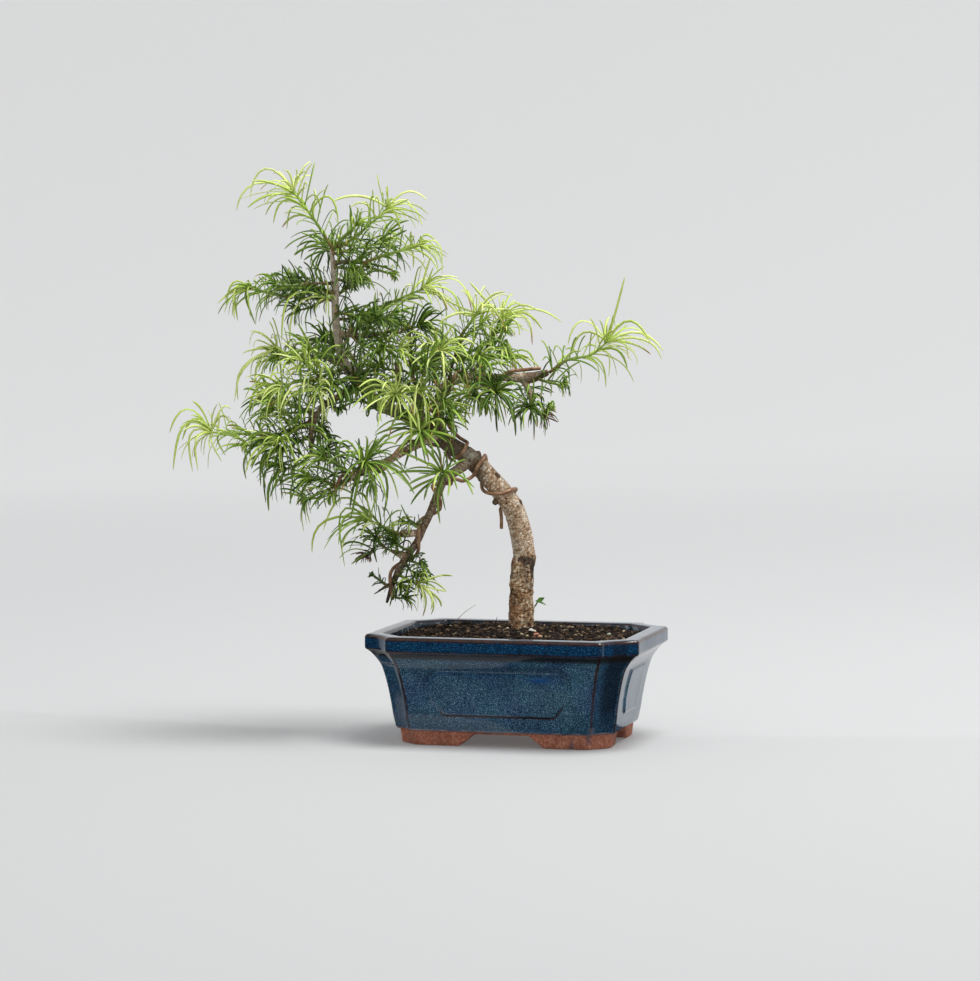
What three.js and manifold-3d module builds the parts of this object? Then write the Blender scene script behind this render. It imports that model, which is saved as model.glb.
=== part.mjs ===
// Golden larch bonsai, informal upright with a leaning trunk, in a glazed rectangular pot.
// Millimetres, +Z up. The origin is under the middle of the whole object, on the surface it
// stands on. +X runs along the pot's long side and the front of the tree faces -Y.

import * as THREE from "three";
import Module from "manifold-3d";

const wasm = await Module();
wasm.setup();

// Driving dimensions of the pot
const rimLength = 155;
const rimWidth = 117.4;
const potHeight = 61.2;
const rimInset = 9.5; // flat top of the rim, measured across it
const wallThickness = 5.5;
const floorTop = 13;
const footHeight = 6.8;
const footWidth = 11;
const longFootGap = [15.5, 24]; // half widths of the gaps between feet, at their top and sole
const shortFootGap = [10, 15.7];
const pocketCorner = 8; // corner cut of the hollow between the feet
const panelProud = 0.9; // how far the raised panels stand out of the walls
const drainHoleDiameter = 10;
const drainHoleSpacing = 60;
const screenSide = 22;
const screenThickness = 1;
const screenPitch = 4;
const screenOpening = 2.6;
const innerRimCorner = 14;
const pastSurface = 1; // how far a cutting body runs past the surface that it cuts

// Outside of the pot: [inset from the rim's outline, height, corner cut]
const outerProfile = [
  [18.5, 0, 10.2],
  [17.6, 8, 10.4],
  [16, 8.2, 10.8],
  [15.2, 10, 11],
  [14, 16, 11.3],
  [13, 23, 11.7],
  [11.7, 30.5, 12.1],
  [10.2, 37.5, 12.4],
  [8.4, 43.5, 13],
  [6, 47.5, 14],
  [4, 50, 15],
  [2.5, 51.5, 16],
  [0.5, 52.7, 17.3],
  [0, 53.2, 17.5],
  [0, 60.6, 17.5],
  [0.6, 61.2, 17.2],
];

// Inside of the pot, from the floor to the rim's inner edge, in the same terms
const innerProfile = [
  [21, floorTop, 9],
  [19.5, 16, 10],
  [17.5, 30, 11],
  [14, 43, 12],
  [11, 52, 13.5],
  [rimInset, potHeight, innerRimCorner],
];

// Raised panel on a wall: half of its outline as [share of its half width, height], and how far
// from the pot's middle the body that cuts it out of the thickened walls starts and ends
const panelHalfWidth = 38;
const panelReach = [30, 90];
const panelOutline = [
  [0.82, 17.5],
  [0.97, 24.5],
  [1.01, 24.5],
  [1.01, 37.8],
  [0.91, 42.8],
];

// Driving dimensions of the tree, whose own frame is [across, depth, up] from the trunk's foot:
// across runs to the right, depth away from the tree's front, and the front is turned by
// treeTurn from the pot's
const treeTurn = THREE.MathUtils.degToRad(13.87);
const treeFoot = new THREE.Vector3(-1, 11.5, 61.5);
const buriedDepth = 11;
const trunkHoleRadius = 7.6;
const sproutHoleRadius = 1.2;
const clearance = 0.3; // between pieces that touch
const wireRadius = 1;

// Soil: its ring at the wall, then how far out from the trunk the rings of its mound lie, and
// the height of the lumps on them
const soilEdge = 57;
const soilEdgeInset = 10;
const soilEdgeCorner = 13.8;
const moundShares = [1, 0.94, 0.82, 0.66, 0.48, 0.3];
const soilLump = 0.9;
const longSide = 40; // sides past this length carry more points

// Trunk, branches, twigs, cut stubs and knobs: rows of [across, depth, up, radius]
const limbs = {
  trunk: [
    [0, 0, -11, 6.6], [0, 0, 3, 7.2], [1, -1, 33, 6.6], [2, -1, 42, 6.3], [-5, -3, 68, 5.9],
    [-26, -5, 93, 5.3], [-40, -3, 103, 4.8], [-54, -1, 114, 4], [-77, 2, 124, 3.4],
    [-83, 2, 129, 3.2], [-93, 4, 142, 3], [-99, 4, 148, 3.1], [-103, 4, 164, 2.2],
    [-104, 3, 179, 2.2], [-104, 2, 192, 2.1], [-106, 2, 212, 1.5],
  ],
  hang: [
    [-28, -6, 94, 3.4], [-40, -12, 86, 2.7], [-44, -13, 82, 2.6], [-49, -14, 69, 2.4],
    [-55, -12, 56, 2.2], [-58, -12, 49, 2.1], [-65, -12, 39, 2.2], [-71, -13, 27, 1.9],
    [-75, -13, 15, 1.2],
  ],
  hangKnob: [
    [-64, -12, 41, 2], [-67, -13, 42, 2.2], [-74, -15, 45, 1], [-79, -16, 48, 0.9],
    [-85, -16, 43, 0.8],
  ],
  hangStub: [[-57, -12, 54, 2], [-66, -18, 54, 2.4]],
  hangTwig: [[-71, -13, 27, 1.5], [-82, -16, 20, 0.8]],
  left: [
    [-46, -3, 109, 2.8], [-63, -19, 101, 2.3], [-76, -24, 94, 2.1], [-89, -26, 89, 2.4],
    [-99, -25, 83, 1.7], [-111, -21, 77, 1],
  ],
  right: [
    [-39, -3, 102, 3], [-44, 2, 110, 2.9], [-47, 8, 125, 2.6], [-41, 11, 137, 2.4],
    [-26, 12, 140, 2.2], [-9, 10, 140, 2.2], [5, 6, 140, 3.3], [15, 5, 143, 2],
  ],
  centreTwig: [
    [-54, -1, 114, 2], [-56, -8, 124, 1.8], [-58, -13, 134, 1.6], [-61, -14, 145, 1.5],
    [-62, -10, 165, 1.2],
  ],
  stub: [[-74, 1, 123, 2.2], [-71, -4, 131, 1.9], [-69, -7, 140, 1.8], [-69, -8, 149, 1.8]],
  redTwig: [[-45, 9, 130, 1.8], [-49, -4, 147, 1.4], [-47, -8, 154, 1]],
  rightTwigA: [[-30, 12, 139, 1.6], [-25, 14, 146, 1.3], [-17, 15, 161, 1]],
  rightTwigB: [[-40, 11, 137, 1.6], [-39, 6, 145, 1.3], [-34, 0, 161, 1]],
  spurA: [[-19, 11, 140, 2], [-14, -1, 132, 1.4]],
  spurB: [[1, 7, 139, 2], [5, 3, 132, 1.8], [6, -2, 126, 1.5], [11, -3, 121, 1.1]],
  upperLeft: [[-104, 3, 184, 1.8], [-127, 6, 185, 1]],
  upperLeftB: [[-104, 2, 193, 1.6], [-118, -8, 193, 1]],
  topRight: [[-105, 2, 204, 1.8], [-98, 0, 205, 1.4], [-88, -6, 204, 1]],
  middle: [[-103, 4, 165, 2], [-87, -5, 164, 1.5], [-68, -9, 167, 1.1]],
  middleB: [[-104, 3, 173, 1.6], [-98, 8, 173, 1.2], [-93, 10, 174, 1]],
  leftRiser: [
    [-88, 3, 136, 2.4], [-97, -4, 132, 2.1], [-107, -8, 127, 1.9], [-114, -9, 120, 1.8],
    [-117, -10, 109, 1.7], [-117, -10, 97, 1.5],
  ],
  farLeft: [[-115, -9, 117, 1.6], [-123, -12, 114, 1.3], [-131, -13, 110, 1.1], [-139, -12, 109, 1]],
  lightLeft: [[-100, 4, 148, 1.8], [-115, 11, 152, 1.2], [-121, 12, 152, 1]],
  frontLeft: [[-97, 3, 146, 1.8], [-103, -6, 144, 1.4], [-115, -17, 140, 1]],
  backA: [[-83, 2, 129, 2], [-90, 24, 143, 1.4], [-94, 31, 149, 1]],
  backB: [[-62, 0, 118, 2.2], [-60, 12, 125, 1.7], [-58, 22, 134, 1.4], [-55, 30, 142, 1]],
  backC: [[-114, -9, 120, 1.6], [-119, 4, 121, 1.4], [-126, 14, 123, 1.2], [-132, 20, 125, 1]],
  backD: [[-104, 3, 184, 1.6], [-102, 13, 187, 1.2], [-97, 21, 190, 1]],
  backE: [[-45, 10, 132, 1.8], [-34, 29, 139, 1]],
  frontC: [[-66, 0, 119, 1.8], [-69, -17, 131, 1]],
  knobTop: [[-24, -5, 92, 2.6], [-24, -6, 99, 1.8]],
  knobUpper: [[-14, -4, 81, 2.6], [-13.5, -7.5, 86, 1.9]],
  knobUnder: [[-11, -4, 75, 2.6], [-15, -6, 70, 1.8]],
  knobRight: [[-5, -3, 69, 2.6], [0, -5, 71, 1.7]],
};

// Sprays of needles. stem is the leafy shoot's route, length the needles' at its base and tip,
// lean their angle to the stem there, rosette the number at the very tip, and traced the long
// ones that show in the outline: [share along the stem, tip across, depth, up, rise of the arc]
const sprays = {
  leader: {
    stem: [[-106, 2, 213], [-115, -2, 228], [-127, -4, 244]],
    length: [19, 24],
    traced: [
      [1, -119, -6, 255, 3], [1, -116, 6, 253, 2], [1, -157, -8, 247, 9], [1, -165, -2, 239, 6],
      [1, -146, 8, 245, 7], [0.95, -152, -10, 235, 4], [0.9, -143, 6, 231, 4],
      [0.9, -119, -12, 246, 2], [0.7, -139, -4, 227, 7], [0.6, -131, 3, 223, 7],
      [0.6, -98, -6, 230, 11], [0.5, -134, 8, 224, 4], [0.75, -110, 2, 234, 8],
      [0.25, -132, -4, 212, 3], [0.1, -127, 0, 209, 1],
    ],
  },
  shootA: {
    stem: [[-103, 1, 213], [-98, -3, 215], [-85, -10, 225], [-74, -13, 235]],
    length: [17, 22],
    traced: [
      [1, -52, -16, 239, 6], [1, -57, -8, 238, 3], [1, -105, -20, 238, 5],
      [0.95, -53, -14, 224, 6], [0.8, -95, -14, 235, 4], [0.8, -66, -16, 222, 7],
      [0.9, -64, -4, 228, 4], [0.6, -62, -6, 220, 9], [0.7, -88, -18, 237, 5],
    ],
  },
  shootB: {
    stem: [[-86, -7, 205], [-75, -11, 209], [-56, -13, 214]],
    length: [17, 20],
    traced: [
      [1, -47, -14, 217, 0], [1, -44, -16, 198, 9], [1, -46, -6, 207, 6], [0.95, -49, -20, 212, 1],
      [0.8, -54, -16, 207, 4], [0.7, -59, -8, 202, 5], [0.9, -65, -10, 220, 2],
      [0.85, -61, -18, 222, 1],
    ],
  },
  topCluster: {
    stem: [[-102, 0, 210], [-91, 11, 213], [-78, 18, 216]],
    length: [16, 18],
    traced: [[1, -70, 20, 221, -2], [0.9, -67, 16, 201, 4]],
  },
  upperLeftShoot: {
    stem: [[-128, 6, 185], [-134, 6, 186], [-152, 3, 190]],
    length: [17, 19],
    traced: [
      [1, -166, 2, 182, 9], [1, -160, -4, 173, 9], [1, -159, 8, 172, 8], [0.95, -151, -6, 174, 7],
      [0.9, -149, 6, 170, 7], [0.8, -145, -4, 176, 6], [0.9, -142, 6, 195, 2],
    ],
  },
  upperLeftTop: {
    stem: [[-119, -9, 193], [-124, -12, 192], [-136, -15, 192]],
    length: [15, 17],
    traced: [[0.8, -129, -14, 202, 1], [1, -145, -16, 193, 4]],
  },
  rightCombTop: {
    stem: [[-103, 0, 202], [-95, -6, 201]],
    length: [14, 16],
    traced: [[1, -81, -8, 195, 4], [1, -87, 2, 197, 3]],
  },
  shootC: {
    stem: [[-93, 10, 174], [-86, 9, 175], [-80, 8, 179], [-55, 1, 190]],
    length: [16, 20],
    traced: [
      [1, -40, -4, 193, 2], [1, -27, -8, 177, 9], [1, -31, 4, 174, 8], [1, -41, -10, 178, 5],
      [1, -49, 0, 202, -2], [0.8, -61, -4, 194, -1], [0.6, -67, 2, 193, 0],
      [0.55, -70, -8, 194, -2], [0.9, -44, 6, 184, 4], [0.7, -54, -6, 184, 2],
    ],
  },
  middleDark: {
    stem: [[-67, -9, 167], [-57, -9, 169]],
    length: [17, 19],
    rosette: 8,
    traced: [
      [1, -48, -8, 180, 0], [1, -42, -12, 176, 2], [1, -37, -4, 171, 3], [0.5, -68, -12, 178, 1],
      [0.6, -57, -6, 184, -1],
    ],
  },
  middleShoot: {
    stem: [[-95, 0, 164], [-90, -8, 160], [-83, -14, 157], [-68, -20, 156]],
    length: [15, 18],
    traced: [[1, -64, -22, 157, 0]],
  },
  middleBack: {
    stem: [[-96, 3, 166], [-84, 20, 171], [-76, 27, 172]],
    length: [16, 18],
  },
  lightLeftShoot: {
    stem: [[-122, 12, 152], [-133, 9, 154], [-137, 7, 156]],
    length: [18, 24],
    traced: [
      [1, -141, 6, 167, 0], [1, -164, 2, 130, 6], [1, -160, -6, 127, 6], [1, -148, 8, 127, 5],
      [1, -148, -8, 125, 4], [0.9, -133, 4, 128, 7], [0.7, -124, 4, 165, 1],
      [0.6, -115, 14, 164, 2],
    ],
  },
  frontLeftShoot: {
    stem: [[-116, -18, 140], [-127, -25, 138], [-133, -27, 135]],
    length: [20, 22],
    traced: [
      [1, -143, -28, 131, 5], [1, -151, -24, 122, 8], [1, -139, -32, 140, 6],
      [0.9, -144, -34, 126, 6], [0.5, -133, -30, 128, 3],
    ],
  },
  frontLeftTop: {
    stem: [[-113, -14, 142], [-116, -20, 146], [-120, -25, 149]],
    length: [18, 20],
    traced: [[1, -139, -26, 141, 8], [1, -132, -34, 145, 5], [1, -104, -30, 140, 6]],
  },
  knobCluster: {
    stem: [[-100, 0, 146], [-102, -8, 141], [-105, -14, 137]],
    length: [17, 20],
    traced: [[1, -116, -16, 122, 2], [1, -99, -14, 124, 2], [1, -98, -8, 125, 1]],
  },
  brightDrop: {
    stem: [[-111, -14, 140], [-113, -24, 134]],
    length: [22, 26],
    rosette: 3,
    traced: [[1, -116, -26, 112, 3], [1, -107, -22, 118, 3]],
  },
  farLeftShoot: {
    stem: [[-140, -12, 109], [-147, -12, 109], [-173, -8, 110]],
    length: [11, 20],
    traced: [
      [1, -199, -10, 113, 11], [1, -191, -2, 112, 4], [1, -194, -12, 89, 16], [1, -184, -6, 88, 9],
      [1, -190, 2, 105, 8], [1, -180, -14, 89, 7], [1, -162, -10, 123, 7], [1, -161, -2, 120, 3],
      [1, -169, -14, 126, 2], [1, -173, -4, 121, 0], [0.95, -167, -12, 94, 3],
      [1, -173, -16, 101, 0], [0.85, -165, -8, 97, 2], [0.9, -169, -6, 122, 1],
    ],
  },
  farLeftLower: {
    stem: [[-139, -13, 109], [-142, -17, 106], [-152, -22, 103]],
    length: [18, 20],
    traced: [
      [1, -161, -22, 93, 5], [1, -155, -26, 90, 4], [1, -160, -18, 102, 2],
      [0.6, -151, -18, 95, 3],
    ],
  },
  massFront: {
    stem: [[-123, -14, 113], [-130, -27, 109], [-133, -31, 106]],
    length: [18, 20],
    traced: [[1, -150, -30, 107, 5], [1, -142, -34, 104, 3], [1, -126, -34, 99, 3]],
  },
  massCentre: {
    stem: [[-118, -12, 108], [-132, -21, 101]],
    length: [17, 18],
    traced: [
      [1, -133, -22, 81, 0], [1, -142, -24, 79, 5], [1, -130, -16, 85, 0], [1, -144, -18, 91, 2],
      [1, -145, -14, 80, 7],
    ],
  },
  massLow: {
    stem: [[-118, -12, 98], [-121, -15, 94], [-131, -18, 90]],
    length: [18, 19],
    traced: [[1, -142, -18, 71, 8], [1, -140, -24, 67, 4]],
  },
  leftTip: {
    stem: [[-112, -21, 77], [-119, -19, 73]],
    length: [13, 14],
    traced: [[1, -120, -18, 64, 1], [1, -131, -20, 68, 6], [1, -111, -16, 74, 0]],
  },
  leftShootLow: {
    stem: [[-103, -24, 81], [-111, -28, 85], [-116, -29, 85]],
    length: [16, 18],
    traced: [[1, -139, -30, 75, 6], [1, -130, -28, 68, 6], [0.6, -120, -30, 66, 4]],
  },
  leftShootUp: {
    stem: [[-94, -27, 88], [-104, -33, 95], [-109, -34, 97]],
    length: [15, 16],
    traced: [[1, -119, -36, 95, 2]],
  },
  spurRosette: {
    stem: [[-89, -28, 92], [-86, -34, 95]],
    length: [21, 24],
    lean: [88, 75],
    rosette: 8,
    traced: [
      [0.5, -86, -30, 107, 0], [0.6, -71, -32, 114, 5], [0.6, -94, -34, 64, 4],
      [0.6, -73, -36, 65, 8], [0.6, -68, -30, 74, 9], [0.5, -82, -40, 67, 2],
      [0.7, -61, -28, 84, 7], [0.4, -95, -28, 68, 2], [0.6, -106, -30, 105, 6],
      [0.5, -80, -30, 67, 4], [0.5, -72, -36, 102, 3], [0.3, -97, -36, 103, 4],
    ],
  },
  branchStart: {
    stem: [[-54, -13, 108], [-56, -24, 112]],
    length: [20, 22],
    lean: [85, 70],
    rosette: 8,
    traced: [
      [0.5, -58, -26, 95, 1], [0.5, -65, -24, 90, 5], [0.6, -70, -28, 104, 4],
      [0.6, -75, -22, 108, 3], [0.6, -43, -24, 90, 4], [0.4, -37, -20, 93, 5],
      [0.6, -50, -28, 95, 1], [0.3, -67, -16, 113, 2],
    ],
  },
  forkRosette: {
    stem: [[-42, -16, 86], [-44, -23, 89]],
    length: [18, 21],
    lean: [85, 75],
    traced: [
      [0.5, -57, -22, 88, 1], [0.5, -62, -24, 78, -1], [0.5, -55, -20, 73, 4],
      [0.5, -45, -24, 60, 2], [0.6, -42, -18, 67, 1], [0.5, -52, -26, 94, 2],
      [0.4, -37, -24, 101, 1],
    ],
  },
  hangShoot: {
    stem: [[-68, -19, 54], [-84, -26, 62]],
    length: [15, 22],
    traced: [
      [1, -125, -28, 51, 7], [1, -100, -30, 37, 16], [1, -110, -22, 56, 14], [1, -101, -34, 49, 9],
      [1, -106, -20, 61, 6], [0.9, -93, -38, 55, 5], [0.6, -66, -26, 67, 4],
      [0.5, -60, -14, 63, 3], [0.9, -89, -24, 51, 4],
    ],
  },
  hangRosette: {
    stem: [[-69, -14, 31], [-57, -22, 26]],
    length: [12, 17],
    traced: [
      [1, -48, -24, 10, 0], [1, -43, -20, 14, 0], [1, -43, -26, 31, 2], [1, -54, -22, 36, 0],
      [1, -62, -26, 37, 0], [0.7, -68, -26, 27, 1], [0.6, -65, -20, 19, 1], [0.8, -56, -16, 17, 0],
    ],
  },
  rightShoot: {
    stem: [[16, 5, 143], [26, 2, 150], [39, 0, 153], [48, -2, 160]],
    length: [18, 22],
    traced: [
      [1, 58, -4, 197, -1], [1, 84, -8, 156, 6], [1, 80, 2, 155, 6], [1, 75, -2, 163, 8],
      [1, 72, -12, 160, 11], [1, 60, -6, 151, 5], [1, 73, 8, 153, 5], [1, 22, -6, 163, 12],
      [1, 25, 4, 156, 10], [1, 60, 6, 170, 0], [0.75, 50, -4, 141, 6], [0.55, 49, 6, 135, 7],
      [0.05, 41, -2, 133, 7], [0.1, 29, 6, 137, 2], [0.3, 17, -4, 157, 5], [0.05, 11, 4, 161, 4],
      [0.05, 12, -6, 150, 4], [0.75, 61, 4, 146, 6], [0.5, 25, -6, 156, 2],
    ],
  },
  rightUnder: {
    stem: [[11, 3, 139], [23, -4, 136]],
    length: [14, 16],
    traced: [[1, 30, -6, 124, 6], [1, 27, -2, 130, 3], [0.9, 24, -10, 130, 3], [1, 30, 4, 136, 2]],
  },
  spurRosetteA: {
    stem: [[-14, -4, 132], [-14, -11, 133]],
    length: [18, 20],
    lean: [88, 75],
    rosette: 8,
    traced: [
      [0.5, -13, -10, 110, -2], [0.5, -3, -12, 108, 2], [0.5, -22, -8, 116, 1],
      [0.6, -4, -6, 117, 2], [0.5, -24, -14, 126, 2], [0.6, -2, -14, 129, 3],
      [0.5, -23, -6, 131, 1], [0.6, -17, -12, 143, 0], [0.6, -5, -8, 141, 0],
      [0.5, -32, -10, 136, 0],
    ],
  },
  spurRosetteB: {
    stem: [[6, -5, 124], [5, -10, 124]],
    length: [13, 15],
    lean: [88, 75],
    rosette: 7,
    traced: [
      [0.5, -4, -10, 116, 0], [0.5, 7, -12, 114, 0], [0.5, 11, -6, 115, 1], [0.5, -6, -8, 125, 0],
      [0.5, 2, -10, 136, 0], [0.5, 13, -12, 127, 5], [0.5, 4, -14, 116, 0],
    ],
  },
  curlEnd: {
    stem: [[12, -4, 120], [16, -9, 124]],
    length: [11, 12],
    traced: [[1, 26, -10, 116, 5], [1, 18, -6, 111, 5], [1, 14, -10, 112, 2], [1, 20, -14, 118, 2]],
  },
  rosetteTop: {
    stem: [[-17, 15, 162], [-11, 12, 173]],
    length: [16, 21],
    traced: [
      [1, -29, 8, 194, 0], [1, -1, 14, 187, 2], [1, 9, 6, 178, 4], [1, 23, 18, 171, 7],
      [1, 12, 10, 167, 8], [1, 8, 16, 159, 8], [1, 2, 2, 162, 3], [1, 4, 20, 177, 6],
      [1, -17, 4, 156, 4], [0.6, -8, 8, 163, 1],
    ],
  },
  shootD: {
    stem: [[-34, 0, 162], [-32, -2, 166], [-24, -4, 177]],
    length: [17, 22],
    traced: [
      [1, -51, -8, 192, -6], [1, -45, -2, 188, -7], [1, -37, 2, 184, -5], [1, -12, -10, 174, 5],
      [0.8, -9, -4, 167, 6], [0.6, -35, -6, 174, 0], [1, -15, -10, 180, 3],
      [0.8, -28, -12, 156, 2], [0.9, -46, -8, 170, 4],
    ],
  },
  rosetteMid: {
    stem: [[-46, -9, 154], [-45, -16, 156]],
    length: [19, 22],
    lean: [85, 70],
    rosette: 8,
    traced: [
      [0.6, -57, -18, 145, 7], [0.6, -28, -20, 129, 12], [0.6, -21, -14, 135, 10],
      [0.6, -66, -22, 151, 3], [0.5, -29, -16, 159, 0], [0.6, -41, -24, 143, 3],
      [0.6, -66, -12, 156, 2], [0.6, -28, -10, 162, 1], [0.5, -56, -18, 162, 1],
      [0.6, -51, -12, 167, 2],
    ],
  },
  frontBright: {
    stem: [[-47, -5, 146], [-50, -12, 142], [-56, -23, 134]],
    length: [16, 20],
    traced: [[1, -59, -26, 128, 1], [1, -45, -26, 129, 4], [1, -43, -20, 133, 4], [1, -63, -24, 137, 2]],
  },
  rosetteLow: {
    stem: [[-69, -18, 131], [-70, -25, 132]],
    length: [18, 22],
    lean: [85, 70],
    rosette: 8,
    traced: [
      [0.6, -76, -28, 121, 4], [0.6, -72, -24, 119, 1], [0.6, -90, -30, 132, 5],
      [0.6, -83, -26, 126, 4], [0.6, -56, -30, 107, 7], [0.6, -51, -26, 109, 9],
      [0.6, -79, -28, 143, 3], [0.5, -59, -28, 135, 2], [0.6, -63, -20, 142, 1],
    ],
  },
  trunkTuft: {
    stem: [[-46, -4, 114], [-45, -10, 119], [-44, -14, 124]],
    length: [17, 22],
    traced: [
      [1, -30, -16, 112, 5], [1, -38, -20, 110, 2], [1, -44, -18, 111, -1], [1, -28, -10, 117, 4],
      [1, -31, -14, 122, 4], [1, -51, -22, 106, 0],
    ],
  },
  rightMass: {
    stem: [[-33, 9, 140], [-28, -4, 133], [-26, -8, 130]],
    length: [16, 18],
    traced: [[1, -29, -10, 121, 1], [1, -21, -6, 115, 2], [1, -36, -12, 125, 2], [1, -33, -6, 118, 4]],
  },
  rightTop: {
    stem: [[-24, 15, 149], [-19, 17, 151], [-8, 19, 152]],
    length: [17, 19],
    traced: [
      [1, 10, 18, 146, 5], [1, 0, 24, 149, 5], [1, -5, 14, 144, 3], [0.6, -3, 22, 159, 2],
      [1, 5, 12, 151, 2],
    ],
  },
  rightFront: {
    stem: [[-37, 5, 149], [-33, -2, 151], [-23, -12, 153]],
    length: [17, 18],
    traced: [[1, -13, -14, 159, 1], [1, -12, -16, 151, 2], [1, -21, -10, 142, 2]],
  },
  centreLeft: {
    stem: [[-70, -8, 144], [-79, -15, 147]],
    length: [15, 16],
    traced: [[1, -90, -16, 153, 1], [1, -78, -14, 159, 0], [1, -71, -18, 156, 2]],
  },
  leaderKnobRight: {
    stem: [[-92, 1, 142], [-80, -12, 137]],
    length: [15, 17],
    traced: [[1, -93, -12, 127, 3], [1, -86, -16, 122, 2], [1, -91, -18, 135, 3]],
  },
  backShootA: {
    stem: [[-95, 32, 150], [-98, 37, 154], [-106, 44, 159]],
    length: [16, 18],
  },
  backShootB: {
    stem: [[-54, 31, 144], [-51, 36, 148], [-45, 43, 156]],
    length: [17, 19],
  },
  backShootC: {
    stem: [[-133, 21, 126], [-142, 30, 128]],
    length: [15, 17],
  },
  backShootD: {
    stem: [[-97, 22, 191], [-89, 32, 195]],
    length: [14, 16],
  },
  backShootE: {
    stem: [[-34, 30, 140], [-23, 39, 143]],
    length: [16, 18],
  },
};

const brightSprays = new Set([
  "leader",
  "shootA",
  "shootB",
  "shootC",
  "upperLeftShoot",
  "lightLeftShoot",
  "frontLeftShoot",
  "frontLeftTop",
  "brightDrop",
  "farLeftShoot",
  "hangShoot",
  "hangRosette",
  "rightShoot",
  "rosetteTop",
  "shootD",
  "rosetteMid",
  "frontBright",
  "rosetteLow",
  "trunkTuft",
]);

// Weed seedling beside the trunk: its stem's route, then each leaf's heading, length and width
const sproutStem = [[5, 9, -4], [6, 8.5, 5], [7.3, 7.5, 10], [8.6, 6.5, 12], [9.6, 6, 14]];
const sproutLeaves = [
  [[0.75, -0.2, 0.55], 4.6, 2.8],
  [[0.97, -0.1, -0.2], 5, 3],
];

const usualLean = [62, 45];
const usualRosette = 6;
const stemRadius = [1.25, 0.85];
const stepLength = 4.2;
const twistPerStep = 67.5; // degrees, as leaves follow each other round a shoot
const needleRadius = 0.85;
const longNeedle = 22; // needles past this length bend at two places

const materials = {
  glaze: new THREE.MeshStandardMaterial({ color: 0x2f4d6b, roughness: 0.3, metalness: 0 }),
  soil: new THREE.MeshStandardMaterial({ color: 0x3a2c22, roughness: 1, metalness: 0 }),
  screen: new THREE.MeshStandardMaterial({ color: 0x26282a, roughness: 0.6, metalness: 0 }),
  bark: new THREE.MeshStandardMaterial({ color: 0x9a8570, roughness: 0.85, metalness: 0 }),
  wire: new THREE.MeshStandardMaterial({ color: 0x8a5a3c, roughness: 0.4, metalness: 0.8 }),
  sprout: new THREE.MeshStandardMaterial({ color: 0x6c9a3a, roughness: 0.6, metalness: 0 }),
  darkNeedles: new THREE.MeshStandardMaterial({ color: 0x35602c, roughness: 0.55, metalness: 0 }),
  brightNeedles: new THREE.MeshStandardMaterial({ color: 0x86b03c, roughness: 0.55, metalness: 0 }),
};

function vector([x, y, z]) {
  return new THREE.Vector3(x, y, z);
}

function wave(i, k) {
  const value = Math.sin(i * 12.9898 + k * 78.233) * 43758.5453;
  return value - Math.floor(value);
}

function solid(positions, triangles) {
  return new wasm.Manifold(
    new wasm.Mesh({
      numProp: 3,
      vertProperties: Float32Array.from(positions),
      triVerts: Uint32Array.from(triangles),
    }),
  );
}

function geometryOf(body) {
  const mesh = body.getMesh();
  const geometry = new THREE.BufferGeometry();
  geometry.setAttribute("position", new THREE.Float32BufferAttribute(mesh.vertProperties, 3));
  geometry.setIndex(Array.from(mesh.triVerts));
  geometry.computeVertexNormals();
  return geometry;
}

// A closed body through rings of equal length, each end closed by a fan
function loft(rings) {
  const count = rings[0].length;
  const points = rings.flat();
  const triangles = [];
  for (let i = 0; i < rings.length - 1; i++) {
    for (let j = 0; j < count; j++) {
      const a = i * count + j;
      const b = i * count + ((j + 1) % count);
      triangles.push(a, b, b + count, a, b + count, a + count);
    }
  }
  const first = points.length;
  const last = first + 1;
  const top = (rings.length - 1) * count;
  for (const ring of [rings[0], rings[rings.length - 1]]) {
    const middle = new THREE.Vector3();
    ring.forEach((point) => middle.addScaledVector(point, 1 / count));
    points.push(middle);
  }
  for (let j = 0; j < count; j++) {
    triangles.push(first, (j + 1) % count, j);
    triangles.push(last, top + j, top + ((j + 1) % count));
  }
  return solid(points.flatMap((point) => point.toArray()), triangles);
}

function prism(outline, low, high) {
  const ringAt = (z) => outline.map(([x, y]) => new THREE.Vector3(x, y, z));
  return loft([ringAt(low), ringAt(high)]);
}

function circle(x, y, radius, sides) {
  return Array.from({ length: sides }, (_, j) => [
    x + radius * Math.cos((2 * Math.PI * j) / sides),
    y + radius * Math.sin((2 * Math.PI * j) / sides),
  ]);
}

// The pot's outline at one height: a rectangle with its corners cut off
function potRing([inset, z, cut]) {
  const x = rimLength / 2 - inset;
  const y = rimWidth / 2 - inset;
  const corners = [
    [x, -y + cut],
    [x, y - cut],
    [x - cut, y],
    [-x + cut, y],
    [-x, y - cut],
    [-x, -y + cut],
    [-x + cut, -y],
    [x - cut, -y],
  ];
  return corners.map(([px, py]) => new THREE.Vector3(px, py, z));
}

// A panel's outline stood upright against a wall and run through it, along +Y or -Y or +X or -X
function panelPrism(halfWidth, turn) {
  const right = panelOutline.map(([share, z]) => [share * halfWidth, z]);
  const left = right.map(([x, z]) => [-x, z]).reverse();
  const ringAt = (y) => {
    const turned = [...right, ...left].map(([x, z]) => new THREE.Vector3(x, y, z));
    return turned.map((point) => point.applyAxisAngle(new THREE.Vector3(0, 0, 1), turn));
  };
  return loft([ringAt(-panelReach[0]), ringAt(-panelReach[1])]);
}

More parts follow.
